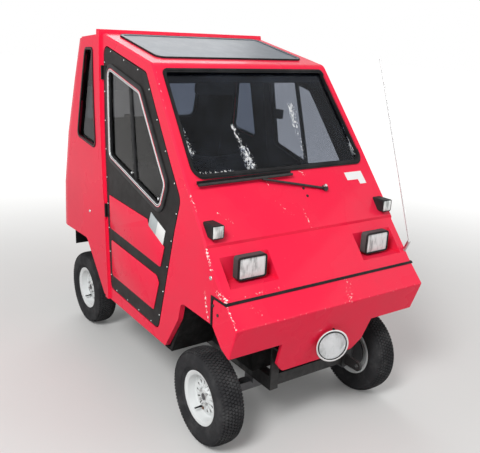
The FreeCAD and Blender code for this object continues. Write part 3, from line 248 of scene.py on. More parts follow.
class Shader:
    """A material's nodes, with short names for the ones that the finishes use."""

    def __init__(self, name: str) -> None:
        """Start a material with one principled shader.

        Args:
            name: Name of the material.
        """
        self.material = bpy.data.materials.new(name)
        self.material.use_nodes = True
        self.tree = self.material.node_tree
        self.shader = self.tree.nodes["Principled BSDF"]
        self.place = self.tree.nodes.new("ShaderNodeTexCoord").outputs["Object"]

    def join(self, target: Any, value: Any) -> None:
        """Link a socket to an input, or set the input's own value.

        Args:
            target: The input.
            value: A socket or a value.
        """
        if isinstance(value, bpy.types.NodeSocket):
            self.tree.links.new(value, target)
        elif isinstance(value, (tuple, list)) and len(value) == 3 and target.type == "RGBA":
            target.default_value = (*value, 1.0)
        else:
            target.default_value = value

    def set(self, **values: Any) -> "Shader":
        """Set inputs of the principled shader, with underscores for spaces."""
        for name, value in values.items():
            self.join(self.shader.inputs[name.replace("_", " ").title().replace("Ior", "IOR")], value)
        return self

    def math(self, operation: str, first: Any, second: Any = 0.0) -> Any:
        """One math node.

        Args:
            operation: What it does.
            first: First socket or number.
            second: Second socket or number.

        Returns:
            Its output.
        """
        node = self.tree.nodes.new("ShaderNodeMath")
        node.operation = operation
        self.join(node.inputs[0], first)
        self.join(node.inputs[1], second)
        return node.outputs[0]

    def vector(self, operation: str, first: Any, second: Any = (0.0, 0.0, 0.0), out: str = "Vector") -> Any:
        """One vector math node.

        Args:
            operation: What it does.
            first: First socket or vector.
            second: Second one, or the scale.
            out: Name of the output.

        Returns:
            Its output.
        """
        node = self.tree.nodes.new("ShaderNodeVectorMath")
        node.operation = operation
        self.join(node.inputs[0], first)
        self.join(node.inputs["Scale"] if operation == "SCALE" else node.inputs[1], second)
        return node.outputs[out]

    def split(self, vector: Any) -> tuple[Any, Any, Any]:
        """The three parts of a vector."""
        node = self.tree.nodes.new("ShaderNodeSeparateXYZ")
        self.join(node.inputs[0], vector)
        return node.outputs[0], node.outputs[1], node.outputs[2]

    def stretched(self, scale: Point) -> Any:
        """Object coordinates with a scale on each axis.

        Args:
            scale: The three scales.

        Returns:
            The coordinates.
        """
        node = self.tree.nodes.new("ShaderNodeMapping")
        self.join(node.inputs["Vector"], self.place)
        node.inputs["Scale"].default_value = scale
        return node.outputs[0]

    def noise(self, scale: float, detail: float = 4.0, roughness: float = 0.55, at: Any = None) -> Any:
        """Noise value about one half.

        Args:
            scale: Features in a metre.
            detail: Levels of finer noise.
            roughness: Share of the finer ones.
            at: Coordinates, where they aren't the object's own.

        Returns:
            The noise.
        """
        node = self.tree.nodes.new("ShaderNodeTexNoise")
        self.join(node.inputs["Vector"], at or self.place)
        node.inputs["Scale"].default_value = scale
        node.inputs["Detail"].default_value = detail
        node.inputs["Roughness"].default_value = roughness
        return node.outputs["Fac"]

    def step(self, value: Any, low: float, high: float, to_low: float = 0.0, to_high: float = 1.0) -> Any:
        """Smooth step of a value between two levels.

        Args:
            value: The value.
            low: Where the step starts.
            high: Where it ends.
            to_low: Result below it.
            to_high: Result above it.

        Returns:
            The result.
        """
        node = self.tree.nodes.new("ShaderNodeMapRange")
        node.interpolation_type = "SMOOTHSTEP"
        self.join(node.inputs["Value"], value)
        node.inputs["From Min"].default_value = low
        node.inputs["From Max"].default_value = high
        node.inputs["To Min"].default_value = to_low
        node.inputs["To Max"].default_value = to_high
        return node.outputs[0]

    def mix(self, share: Any, first: Any, second: Any) -> Any:
        """Mix of two colours.

        Args:
            share: Share of the second.
            first: First colour.
            second: Second colour.

        Returns:
            The mix.
        """
        node = self.tree.nodes.new("ShaderNodeMix")
        node.data_type = "RGBA"
        self.join(node.inputs["Factor"], share)
        self.join(node.inputs[6], first)
        self.join(node.inputs[7], second)
        return node.outputs[2]

    def bump(self, height: Any, strength: float, depth: float) -> "Shader":
        """Bump on the whole shader.

        Args:
            height: Height from 0 to 1.
            strength: How much of it shows.
            depth: Real depth in metres.

        Returns:
            This shader.
        """
        node = self.tree.nodes.new("ShaderNodeBump")
        node.inputs["Strength"].default_value = strength
        node.inputs["Distance"].default_value = depth
        self.join(node.inputs["Height"], height)
        self.join(self.shader.inputs["Normal"], node.outputs[0])
        return self

    def beside(self, start: Sequence[float], end: Sequence[float], near: float, far: float) -> Any:
        """Mask that is 1 within near of a line and 0 past far, all in metres.

        Args:
            start: One end of the line.
            end: Its other end.
            near: Distance within which it is 1.
            far: Distance past which it is 0.

        Returns:
            The mask.
        """
        way = Vector(end) - Vector(start)
        from_start = self.vector("SUBTRACT", self.place, tuple(start))
        along = self.vector("DOT_PRODUCT", from_start, tuple(way / way.length_squared), "Value")
        inside = self.math("MINIMUM", self.math("MAXIMUM", along, 0.0), 1.0)
        apart = self.vector("SUBTRACT", from_start, self.vector("SCALE", tuple(way), inside))
        return self.step(self.vector("LENGTH", apart, out="Value"), near, far, 1.0, 0.0)


    def marks(self, mask: Any, lines: Sequence[Scrape], noise: Any, low: float, high: float, edge: float) -> Any:
        """Add spots along lines to a mask.

        Args:
            mask: The mask so far.
            lines: Where the spots lie.
            noise: Noise that breaks them up.
            low: Level of the noise, with the line's share, at which a spot starts.
            high: Level at which it is full.
            edge: How near the line, as a share of its reach, the spots thin out.

        Returns:
            The mask with the spots.
        """
        for line in lines:
            near = self.beside(line.start, line.end, 0.0, line.reach)
            level = self.math("ADD", noise, self.math("MULTIPLY", near, line.share))
            spots = self.math("MULTIPLY", self.step(level, low, high), self.step(near, 0.02, edge))
            mask = self.math("MAXIMUM", mask, spots)
        return mask


@dataclass(frozen=True)
class Finish:
    """A finish with a name, made once and shared by the pieces that have it."""

    name: str

    def make(self) -> bpy.types.Material:
        """The material, made on first use.

        Returns:
            The material.
        """
        found = bpy.data.materials.get(self.name)
        if found:
            return found
        shader = Shader(self.name)
        self.paint(shader)
        return shader.material

    def paint(self, shader: Shader) -> None:
        """Set the shader's nodes."""
        raise NotImplementedError


@dataclass(frozen=True)
class Gelcoat(Finish):
    """Glossy coloured moulding with dust, fine chips and pale scrapes, and near-black inside the cabin, partly a
    dark inner finish and partly painted shade.
    """

    colour: Colour
    chip: Colour = (0.86, 0.80, 0.76)
    scrapes: tuple[Scrape, ...] = ()
    # Whether the faces inside the cabin turn near-black, partly a dark inner finish and partly painted shade of the
    # cabin
    lined: bool = False

    def inside(self, shader: Shader) -> Any:
        """Mask of the faces that look into the cabin, from their depth under the outer skin.

        Args:
            shader: The finish's nodes.

        Returns:
            The mask.
        """
        x, y, z = shader.split(shader.place)
        over_waist = shader.math("MAXIMUM", shader.math("SUBTRACT", z, WAIST_Z * MM), 0.0)
        bend = shader.math("ADD", shader.math("MULTIPLY", over_waist, WALL_BEND), WALL_LEAN)
        lean = shader.math("MULTIPLY", over_waist, bend)
        side = shader.math("SUBTRACT", shader.math("SUBTRACT", INNER_HALF, lean), shader.math("ABSOLUTE", x))
        nose_y = shader.math("ADD", shader.math("MULTIPLY", z, SLOPE_RUN / SLOPE_RISE), slope_y(0.0) * MM)
        slope = shader.math("SUBTRACT", y, nose_y)
        roofs = []
        for rise, height in ((roof_z(1.0) - roof_z(0.0), roof_z(0.0) * MM), (REAR_ROOF_RISE, REAR_ROOF_Z)):
            roof = shader.math("ADD", shader.math("MULTIPLY", y, rise), height)
            roofs.append(shader.math("SUBTRACT", roof, z))
        depth = shader.math("MINIMUM", shader.math("MINIMUM", side, slope), shader.math("MINIMUM", *roofs))
        geometry = shader.tree.nodes.new("ShaderNodeNewGeometry")
        outwards = shader.vector("SUBTRACT", shader.place, CABIN_CENTRE)
        facing = shader.vector("DOT_PRODUCT", outwards, geometry.outputs["True Normal"], "Value")
        inwards = shader.math("MAXIMUM", shader.step(facing, 0.0, 0.02, 1.0, 0.0), shader.step(z, 1.0, 1.02))
        inwards = shader.math("MULTIPLY", inwards, shader.step(y, *POCKETS_END))
        return shader.math("MULTIPLY", shader.step(depth, 0.006, 0.010), inwards)

    def paint(self, shader: Shader) -> None:
        """Colour with cloudy fading, specks, chips along the scrapes, and near-black inside the cabin, partly a
        dark inner finish and partly painted shade.

        Args:
            shader: The finish's nodes.
        """
        cloud = shader.noise(3.0, 3.0)
        faded = tuple(min(1.0, c * 0.92 + 0.012) for c in self.colour)
        base = shader.mix(shader.step(cloud, 0.35, 0.7), self.colour, faded)
        specks = shader.step(shader.noise(190.0, 3.0, 0.7), 0.715, 0.76)
        grime = shader.step(shader.noise(14.0, 6.0, 0.7), 0.60, 0.80, 0.0, 0.35)
        base = shader.mix(shader.math("MULTIPLY", specks, 0.4), base, self.chip)
        base = shader.mix(shader.math("MULTIPLY", grime, 0.25), base, (0.18, 0.04, 0.04))
        worn = shader.marks(0.0, self.scrapes, shader.noise(105.0, 5.0, 0.74), 0.78, 0.84, 0.25)
        base = shader.mix(worn, base, self.chip)
        rough = shader.math("ADD", shader.step(cloud, 0.3, 0.8, 0.24, 0.36), shader.math("MULTIPLY", worn, 0.4))
        if self.lined:
            # Near-black on the faces inside the cabin: partly a dark inner finish, partly painted shade of the
            # cabin
            lining_and_shade = self.inside(shader)
            base = shader.mix(lining_and_shade, base, (0.012, 0.012, 0.014))
            rough = shader.math("MAXIMUM", rough, shader.math("MULTIPLY", lining_and_shade, 0.85))
        shader.set(base_color=base, roughness=rough, specular_ior_level=0.04)
        shader.set(coat_weight=0.16, coat_roughness=0.08)
        shader.bump(shader.noise(9.0, 2.0), 0.2, 0.0015)


@dataclass(frozen=True)
class Grained(Finish):
    """Matt plastic, rubber or cloth with a fine grain and some dust."""

    colour: Colour
    roughness: float = 0.6
    grain: float = 900.0
    depth: float = 0.0002
    dust: float = 0.25
    sheen: float = 0.0

    def paint(self, shader: Shader) -> None:
        """Dark base with dust in patches and a bumpy grain.

        Args:
            shader: The finish's nodes.
        """
        dusty = tuple(c * 0.6 + 0.09 for c in self.colour)
        patches = shader.step(shader.noise(11.0, 5.0, 0.65), 0.42, 0.75, 0.0, self.dust)
        shader.set(base_color=shader.mix(patches, self.colour, dusty))
        low, high = self.roughness * 0.9, min(1.0, self.roughness * 1.15)
        shader.set(roughness=shader.step(shader.noise(26.0), 0.3, 0.7, low, high), sheen_weight=self.sheen,
                   specular_ior_level=0.1)
        shader.bump(shader.noise(self.grain, 2.0), 0.5, self.depth)


@dataclass(frozen=True)
class Metal(Finish):
    """Bare, plated or painted metal, with smears or rust."""

    colour: Colour
    metallic: float = 1.0
    roughness: float = 0.25
    rust: float = 0.0

    def paint(self, shader: Shader) -> None:
        """Even base with smears in its gloss, and brown specks where it rusts.

        Args:
            shader: The finish's nodes.
        """
        smear = shader.noise(38.0, 5.0, 0.65)
        stain = shader.step(shader.noise(120.0, 6.0, 0.75), 0.66, 0.74, 0.0, self.rust)
        shader.set(base_color=shader.mix(stain, self.colour, (0.12, 0.065, 0.04)))
        low, high = self.roughness * 0.8, self.roughness * 1.5
        shader.set(metallic=self.metallic, roughness=shader.step(smear, 0.3, 0.75, low, high))
        shader.bump(smear, 0.1, 0.0006)


@dataclass(frozen=True)
class Glazing(Finish):
    """Window glass with a tint, dust and pale splashes that run down it."""

    tint: Colour
    splashes: tuple[Scrape, ...] = ()
    dust: float = 0.012

    def paint(self, shader: Shader) -> None:
        """Clear or smoked glass with dust and dried splashes that hide it.

        Args:
            shader: The finish's nodes.
        """
        dust = shader.step(shader.noise(7.0, 3.0), 0.40, 0.75, 0.0, self.dust)
        speck = shader.noise(120.0, 5.0, 0.8, shader.stretched((1.0, 0.8, 0.35)))
        dirt = shader.marks(dust, self.splashes, speck, 0.80, 0.87, 0.2)
        shader.set(base_color=shader.mix(dirt, self.tint, (0.82, 0.82, 0.80)), ior=1.2)
        shader.set(transmission_weight=shader.math("SUBTRACT", 1.0, dirt))
        shader.set(roughness=shader.step(dirt, 0.2, 0.6, 0.0, 0.6))


@dataclass(frozen=True)
class Panelled(Finish):
    """Smoked plastic panel, dulled by dust, that lets little through, its blue-grey partly the smoke tint and
    partly painted reflection of the sky.
    """

    tint: Colour

    def paint(self, shader: Shader) -> None:
        """Dusty blue-grey with a soft gloss; the blue-grey is partly the smoke tint and partly painted reflection
        of the sky.

        Args:
            shader: The finish's nodes.
        """
        dust = shader.step(shader.noise(9.0, 6.0, 0.7), 0.35, 0.75)
        specks = shader.step(shader.noise(230.0, 3.0, 0.7), 0.70, 0.78, 0.0, 0.5)
        paler = tuple(c * 1.25 + 0.03 for c in self.tint)
        base = shader.mix(specks, shader.mix(dust, self.tint, paler), (0.45, 0.45, 0.43))
        shader.set(base_color=base, roughness=0.42, specular_ior_level=0.25, transmission_weight=0.15)


@dataclass(frozen=True)
class Frosted(Finish):
    """Fluted lamp glass that is bright with scattered light."""

    tint: Colour
    clear: float = 0.45
    dull: float = 0.45

    def paint(self, shader: Shader) -> None:
        """Pale milky glass with faint upright streaks.

        Args:
            shader: The finish's nodes.
        """
        blotch = shader.noise(26.0, 3.0, 0.5, shader.stretched((1.6, 1.0, 0.7)))
        streak = shader.noise(70.0, 2.0, 0.5, shader.stretched((6.0, 1.0, 0.3)))
        uneven = shader.math("ADD", shader.math("MULTIPLY", blotch, 0.7), shader.math("MULTIPLY", streak, 0.3))
        duller = tuple(c * self.dull for c in self.tint)
        shader.set(base_color=shader.mix(shader.step(uneven, 0.46, 0.66), self.tint, duller))
        shader.set(transmission_weight=self.clear, roughness=0.2, ior=1.3, coat_weight=0.5, coat_roughness=0.04)


@dataclass(frozen=True)
class LensGlass(Finish):
    """Clear or coloured lens of a lamp."""

    tint: Colour
    roughness: float = 0.05
    clear: float = 0.9

    def paint(self, shader: Shader) -> None:
        """Glass with a faint cloudiness."""
        shader.set(base_color=self.tint, transmission_weight=self.clear, ior=1.45)
        shader.set(roughness=shader.step(shader.noise(60.0), 0.3, 0.7, self.roughness, self.roughness * 2.5))


# The finishes, each made once
RED = (0.86, 0.014, 0.058)
FRONT_SCRAPES = (
    Scrape((-0.490, -0.708, 0.859), (-0.489, -0.753, 0.789), 0.020, 0.29),
    Scrape((-0.488, -0.797, 0.722), (-0.480, -0.842, 0.702), 0.034, 0.29),
    Scrape((-0.489, -0.709, 0.693), (-0.488, -0.735, 0.589), 0.020, 0.30),
    Scrape((-0.477, -0.490, 1.105), (-0.484, -0.627, 0.983), 0.013, 0.27),
    Scrape((-0.455, -0.235, 1.462), (-0.478, -0.440, 1.205), 0.008, 0.20),
    Scrape((-0.400, -0.630, 0.975), (-0.345, -0.660, 0.930), 0.030, 0.18),
    Scrape((-0.100, -0.620, 0.985), (-0.060, -0.665, 0.925), 0.040, 0.17),
    Scrape((0.010, -0.650, 0.940), (0.022, -0.712, 0.868), 0.014, 0.25),
    Scrape((-0.135, -0.553, 1.065), (-0.110, -0.575, 1.035), 0.024, 0.21),
    Scrape((0.069, -0.548, 1.072), (0.090, -0.565, 1.050), 0.030, 0.22),
    Scrape((-0.400, -0.842, 0.708), (-0.240, -0.842, 0.708), 0.024, 0.19),
)
BUMPER_SCRAPES = (
    Scrape((-0.486, -0.852, 0.695), (-0.486, -0.923, 0.622), 0.016, 0.25),
    Scrape((-0.486, -0.923, 0.620), (0.486, -0.923, 0.620), 0.014, 0.19),
    Scrape((-0.400, -0.870, 0.680), (-0.360, -0.895, 0.652), 0.040, 0.18),
    Scrape((0.095, -0.866, 0.684), (0.070, -0.920, 0.625), 0.050, 0.22),
)
MOULDING = Gelcoat("red moulding", RED, lined=True)
NOSE_MOULDING = Gelcoat("scraped red moulding", RED, scrapes=FRONT_SCRAPES, lined=True)
BUMPER_MOULDING = Gelcoat("scraped red bumper", RED, scrapes=BUMPER_SCRAPES)
DOOR_RED = Gelcoat("red door panel", RED)
FADED_RED = Gelcoat("faded red line", (0.30, 0.10, 0.10))
DOOR_BLACK = Grained("black door skin", (0.012, 0.010, 0.010), 0.40, 700.0, 0.0001, 0.12)
RUBBER = Grained("black rubber", (0.013, 0.013, 0.014), 0.55, 600.0, 0.0001, 0.15)
GLOSSY_RUBBER = Grained("glossy window rubber", (0.020, 0.020, 0.021), 0.34, 600.0, 0.0001, 0.3)
TYRE_RUBBER = Grained("tyre rubber", (0.028, 0.028, 0.030), 0.82, 420.0, 0.0004, 0.45)
BLACK_PLASTIC = Grained("black plastic", (0.018, 0.018, 0.019), 0.5, 1300.0, 0.0001, 0.2)
GREY_PLASTIC = Grained("weathered grey plastic", (0.07, 0.07, 0.072), 0.55, 900.0, 0.0002, 0.5)
UNDERSEAL = Grained("black underseal", (0.012, 0.012, 0.012), 0.85, 180.0, 0.0012, 0.3)
LINING = Grained("dark lining", (0.012, 0.012, 0.014), 0.9, 900.0, 0.0003, 0.1)
CLOTH = Grained("dark seat cloth", (0.020, 0.020, 0.024), 0.95, 1600.0, 0.0001, 0.15, 0.15)
CHROME = Metal("chrome", (0.62, 0.62, 0.62), 1.0, 0.10)
RUSTY = Metal("rusty steel", (0.16, 0.075, 0.04), 0.0, 0.8)
MIRROR = Metal("reflector", (0.88, 0.88, 0.87), 1.0, 0.06)
ALUMINIUM = Metal("bright aluminium", (0.78, 0.79, 0.80), 1.0, 0.22)
STEEL = Metal("bright steel", (0.55, 0.55, 0.55), 1.0, 0.3, 0.2)
GREY_STEEL = Metal("grey steel", (0.11, 0.11, 0.115), 0.6, 0.55, 0.8)
# Black paint, set darker still as painted shade where the frame lies under the bumper; bolts, wiper, clip and rim
# plates share it
BLACK_STEEL_AND_SHADE = Metal("black painted steel", (0.013, 0.013, 0.013), 0.1, 0.55, 0.5)
WHITE_STEEL = Metal("white painted steel", (0.68, 0.70, 0.70), 0.0, 0.35, 0.35)
CLEAN_WHITE = Metal("white lacquer", (0.78, 0.79, 0.78), 0.0, 0.35, 0.1)
GREY_CARD = Metal("grey lacquer", (0.42, 0.46, 0.47), 0.2, 0.35, 0.1)
SCREEN_SPLASHES = (
    Scrape((-0.182, -0.397, 1.260), (-0.167, -0.477, 1.160), 0.034, 0.36),
    Scrape((-0.160, -0.470, 1.168), (-0.161, -0.525, 1.103), 0.066, 0.34),
    Scrape((0.165, -0.339, 1.331), (0.150, -0.405, 1.250), 0.048, 0.34),
    Scrape((0.150, -0.400, 1.255), (0.131, -0.500, 1.132), 0.036, 0.27),
    Scrape((-0.433, -0.398, 1.259), (-0.418, -0.470, 1.170), 0.056, 0.34),
    Scrape((-0.431, -0.522, 1.104), (-0.250, -0.524, 1.102), 0.026, 0.35),
    Scrape((0.030, -0.531, 1.094), (0.347, -0.526, 1.098), 0.018, 0.31),
    Scrape((0.436, -0.459, 1.182), (0.430, -0.505, 1.126), 0.046, 0.36),
)
SCREEN_GLASS = Glazing("windscreen glass", (0.42, 0.48, 0.60), SCREEN_SPLASHES)
DOOR_GLASS = Glazing("door glass", (0.42, 0.40, 0.38))
SMOKED_GLASS = Glazing("smoked glass", (0.16, 0.17, 0.19))
# Roof panel's blue-grey: partly the smoke tint, partly painted reflection of the sky
ROOF_PANEL_AND_PAINTED_SKY = Panelled("smoked roof panel", (0.085, 0.105, 0.13))
LAMP_GLASS = Frosted("fluted lamp glass", (0.92, 0.93, 0.93), 0.25)
ROUND_GLASS = Frosted("round lamp glass", (0.95, 0.96, 0.97), 0.7, 0.7)
POD_GLASS = Frosted("clear indicator glass", (0.86, 0.87, 0.86), 0.2)
RED_LENS = LensGlass("red lens", (0.65, 0.01, 0.01), 0.08, 0.7)


class Sketch:
    """A mesh in the making, in millimetres, with the modelling steps that the pieces share."""

    def __init__(self) -> None:
        """Start empty."""
        self.bm = bmesh.new()

    def polygon(self, corners: Sequence[Corner], arc_steps: int = 6, longest: float = 1e9) -> "Sketch":
        """Flat face in the (u, v) plane with rounded corners.

        Args:
            corners: (u, v) or (u, v, radius) in order.
            arc_steps: Segments in each rounded corner.
            longest: Longest edge that stays whole.

        Returns:
            This sketch.
        """
        points = [Vector((c[0], c[1], 0.0)) for c in corners]
        verts = [self.bm.verts.new(p) for p in points]
        self.bm.faces.new(verts)
        for index, corner in enumerate(corners):
            radius = corner[2] if len(corner) > 2 else 0.0
            if radius <= 0.0:
                continue
            before = points[index - 1] - points[index]
            after = points[(index + 1) % len(points)] - points[index]
            reach = radius / math.tan(before.angle(after) / 2)
            bmesh.ops.bevel(self.bm, geom=[verts[index]], affect="VERTICES", offset=reach, offset_type="OFFSET",
                            segments=arc_steps, profile=0.5, material=-1)
        for edge in [e for e in self.bm.edges if e.calc_length() > longest]:
            cuts = int(edge.calc_length() / longest)
            bmesh.ops.subdivide_edges(self.bm, edges=[edge], cuts=cuts)
        return self

    def ring(self, width: float) -> "Sketch":
        """Turn the flat face into a ring of that width inside its outline.

        Args:
            width: Width of the ring.

        Returns:
            This sketch.
        """
        faces = self.bm.faces[:]
        bmesh.ops.inset_region(self.bm, faces=faces, thickness=width, use_even_offset=True, use_boundary=True)
        bmesh.ops.delete(self.bm, geom=faces, context="FACES")
        return self

    def grid(self, width: float, height: float, across: int, up: int) -> "Sketch":
        """Add a flat grid about the origin."""
        matrix = Matrix.Diagonal((width, height, 1.0, 1.0))
        bmesh.ops.create_grid(self.bm, x_segments=across, y_segments=up, size=0.5, matrix=matrix)
        return self

    def extrude(self, faces: Sequence[Any], keep: bool) -> tuple[list[Any], list[Any]]:
        """Extrude faces in place.

        Args:
            faces: The faces.
            keep: Whether they stay where they were too.

        Returns:
            The new faces and the new points.
        """
        moved = bmesh.ops.extrude_face_region(self.bm, geom=faces, use_keep_orig=keep)["geom"]
        kinds = (bmesh.types.BMFace, bmesh.types.BMVert)
        return tuple([g for g in moved if isinstance(g, kind)] for kind in kinds)

    def trim(self, corners: Sequence[Corner], longest: float, width: float, low: float, high: float,
             round_by: float) -> "Sketch":
        """Ring of trim.

        Args:
            corners: Its outer outline.
            longest: Longest edge that stays whole.
            width: Its width.
            low: Where it starts, outwards.
            high: Where it ends.
            round_by: Radius of its edges.

        Returns:
            This sketch.
        """
        return self.polygon(corners, 8, longest).ring(width).thicken(high - low, low).soften(round_by)

    def thicken(self, depth: float, start: float = 0.0) -> "Sketch":
        """Give the flat faces a thickness outwards, from start.

        Args:
            depth: The thickness.
            start: Where it starts.

        Returns:
            This sketch.
        """
        top = self.extrude(self.bm.faces[:], True)[1]
        if start:
            bmesh.ops.translate(self.bm, vec=(0, 0, start), verts=self.bm.verts[:])
        bmesh.ops.translate(self.bm, vec=(0, 0, depth), verts=top)
        return self

    def soften(self, radius: float, segments: int = 2, over: float = 30.0) -> "Sketch":
        """Round the edges that turn by more than an angle.

        Args:
            radius: Radius of the rounding.
            segments: Steps in it.
            over: The angle, in degrees.

        Returns:
            This sketch.
        """
        limit = math.radians(over)
        sharp = [e for e in self.bm.edges if len(e.link_faces) == 2 and e.calc_face_angle(0.0) > limit]
        bmesh.ops.bevel(self.bm, geom=sharp, affect="EDGES", offset=radius, offset_type="OFFSET",
                        segments=segments, profile=0.5, clamp_overlap=True, material=-1)
        return self

    def put(self, place: Place) -> "Sketch":
        """Move every point by a map of its three numbers."""
        for vert in self.bm.verts:
            vert.co = place(*vert.co)
        return self

    def turn(self, matrix: Matrix) -> "Sketch":
        """Move everything by a matrix."""
        bmesh.ops.transform(self.bm, matrix=matrix, verts=self.bm.verts[:])
        return self

    def block(self, size: Sequence[float], centre: Sequence[float], turn: Matrix | None = None) -> "Sketch":
        """Add a box.

        Args:
            size: Its three sizes.
            centre: Its middle.
            turn: Rotation about its middle.

        Returns:
            This sketch.
        """
        scale = Matrix.Diagonal((size[0], size[1], size[2], 1.0))
        turned = (turn or Matrix.Identity(3)).to_4x4()
        bmesh.ops.create_cube(self.bm, size=1.0, matrix=Matrix.Translation(centre) @ turned @ scale)
        return self

    def rod(self, start: Sequence[float], end: Sequence[float], radius: float, tip: float | None = None,
            sides: int = 16) -> "Sketch":
        """Add a round bar or cone between two points.

        Args:
            start: Middle of its first end.
            end: Middle of its second end.
            radius: Radius at its first end.
            tip: Radius at its second end, where it differs.
            sides: Number of its sides.

        Returns:
            This sketch.
        """
        first, last = Vector(start), Vector(end)
        way = last - first
        turn = way.to_track_quat("Z", "Y").to_matrix().to_4x4()
        bmesh.ops.create_cone(self.bm, cap_ends=True, segments=sides, radius1=radius,
                              radius2=radius if tip is None else tip, depth=way.length,
                              matrix=Matrix.Translation((first + last) / 2) @ turn)
        return self

    def stud(self, side: Side, spot: Sequence[float], low: float, high: float, radius: float, tip: float,
             sides: int = 20) -> "Sketch":
        """Add a round head on the side wall.

        Args:
            side: Which wall.
            spot: Its (y, z).
            low: Where it starts, outwards from the wall.
            high: Where it ends.
            radius: Radius at its start.
            tip: Radius at its end.
            sides: Number of its sides.

        Returns:
            This sketch.
        """
        y, z = spot
        start, end = (side.value * (half_width(z) + out) for out in (low, high))
        return self.rod((start, y, z), (end, y, z), radius, tip, sides)

    def ball(self, centre: Sequence[float], radius: float, squash: Sequence[float], detail: int) -> "Sketch":
        """Add a ball, squashed along the axes.

        Args:
            centre: Its middle.
            radius: Its radius.
            squash: Scale on each axis.
            detail: Rings of faces.

        Returns:
            This sketch.
        """
        matrix = Matrix.Translation(centre) @ Matrix.Diagonal((*squash, 1.0))
        bmesh.ops.create_uvsphere(self.bm, u_segments=detail * 2, v_segments=detail, radius=radius,
                                  matrix=matrix)
        return self

    def lathe(self, profile: Sequence[Pair], steps: int, closed: bool = True) -> "Sketch":
        """Turn a profile about the Z axis.

        Args:
            profile: (height, radius) in order.
            steps: Segments round the axis.
            closed: Whether the profile's ends join.

        Returns:
            This sketch.
        """
        verts = [self.bm.verts.new((radius, 0.0, height)) for height, radius in profile]
        pairs = list(zip(verts, verts[1:]))
        if closed:
            pairs.append((verts[-1], verts[0]))
        edges = [self.bm.edges.new(pair) for pair in pairs]
        bmesh.ops.spin(self.bm, geom=verts + edges, cent=(0, 0, 0), axis=(0, 0, 1), angle=math.tau,
                       steps=steps, use_merge=True)
        bmesh.ops.remove_doubles(self.bm, verts=self.bm.verts[:], dist=0.001)
        return self

    def finish(self, name: str, finish: Finish, slot: Slot, crease: float = 32.0,
               body: str = Body.CAR.value) -> bpy.types.Object:
        """Make the object, in metres, with its finish, on its body.

        Args:
            name: Name of the piece.
            finish: Its finish.
            slot: Not used.
            crease: Angle past which an edge shows sharp.
            body: Body that it rides on.

        Returns:
            The object.
        """
        bmesh.ops.remove_doubles(self.bm, verts=self.bm.verts[:], dist=0.001)
        bmesh.ops.recalc_face_normals(self.bm, faces=self.bm.faces[:])
        bmesh.ops.scale(self.bm, vec=(MM, MM, MM), verts=self.bm.verts[:])
        mesh = bpy.data.meshes.new(name)
        self.bm.to_mesh(mesh)
        self.bm.free()
        mesh.shade_smooth()
        mesh.set_sharp_from_angle(angle=math.radians(crease))
        piece = placed(name, mesh)
        mesh.materials.append(finish.make())
        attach(piece, body)
        LOG.info("%s rides on %s", name, body)
        return piece


def placed(name: str, data: Any) -> bpy.types.Object:
    """New object in the scene, with its mesh, lamp or camera."""
    thing = bpy.data.objects.new(name, data)
    bpy.context.scene.collection.objects.link(thing)
    return thing


def dress(node: str, finish: Finish) -> None:
    """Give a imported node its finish.

    Args:
        node: Name of the node.
        finish: Its finish.
    """
    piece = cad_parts[node]
    piece.data.materials.clear()
    piece.data.materials.append(finish.make())


def seen(tree: bpy.types.NodeTree) -> Any:
    """Mask that is 1 where the camera, a reflection or glass looks, and 0 for light that falls on things.

    Args:
        tree: Node tree that gets the mask.

    Returns:
        The mask's socket.
    """
    path = tree.nodes.new("ShaderNodeLightPath")
    mask = path.outputs["Is Camera Ray"]
    for ray in ("Is Glossy Ray", "Is Transmission Ray"):
        larger = tree.nodes.new("ShaderNodeMath")
        larger.operation = "MAXIMUM"
        tree.links.new(mask, larger.inputs[0])
        tree.links.new(path.outputs[ray], larger.inputs[1])
        mask = larger.outputs[0]
    return mask


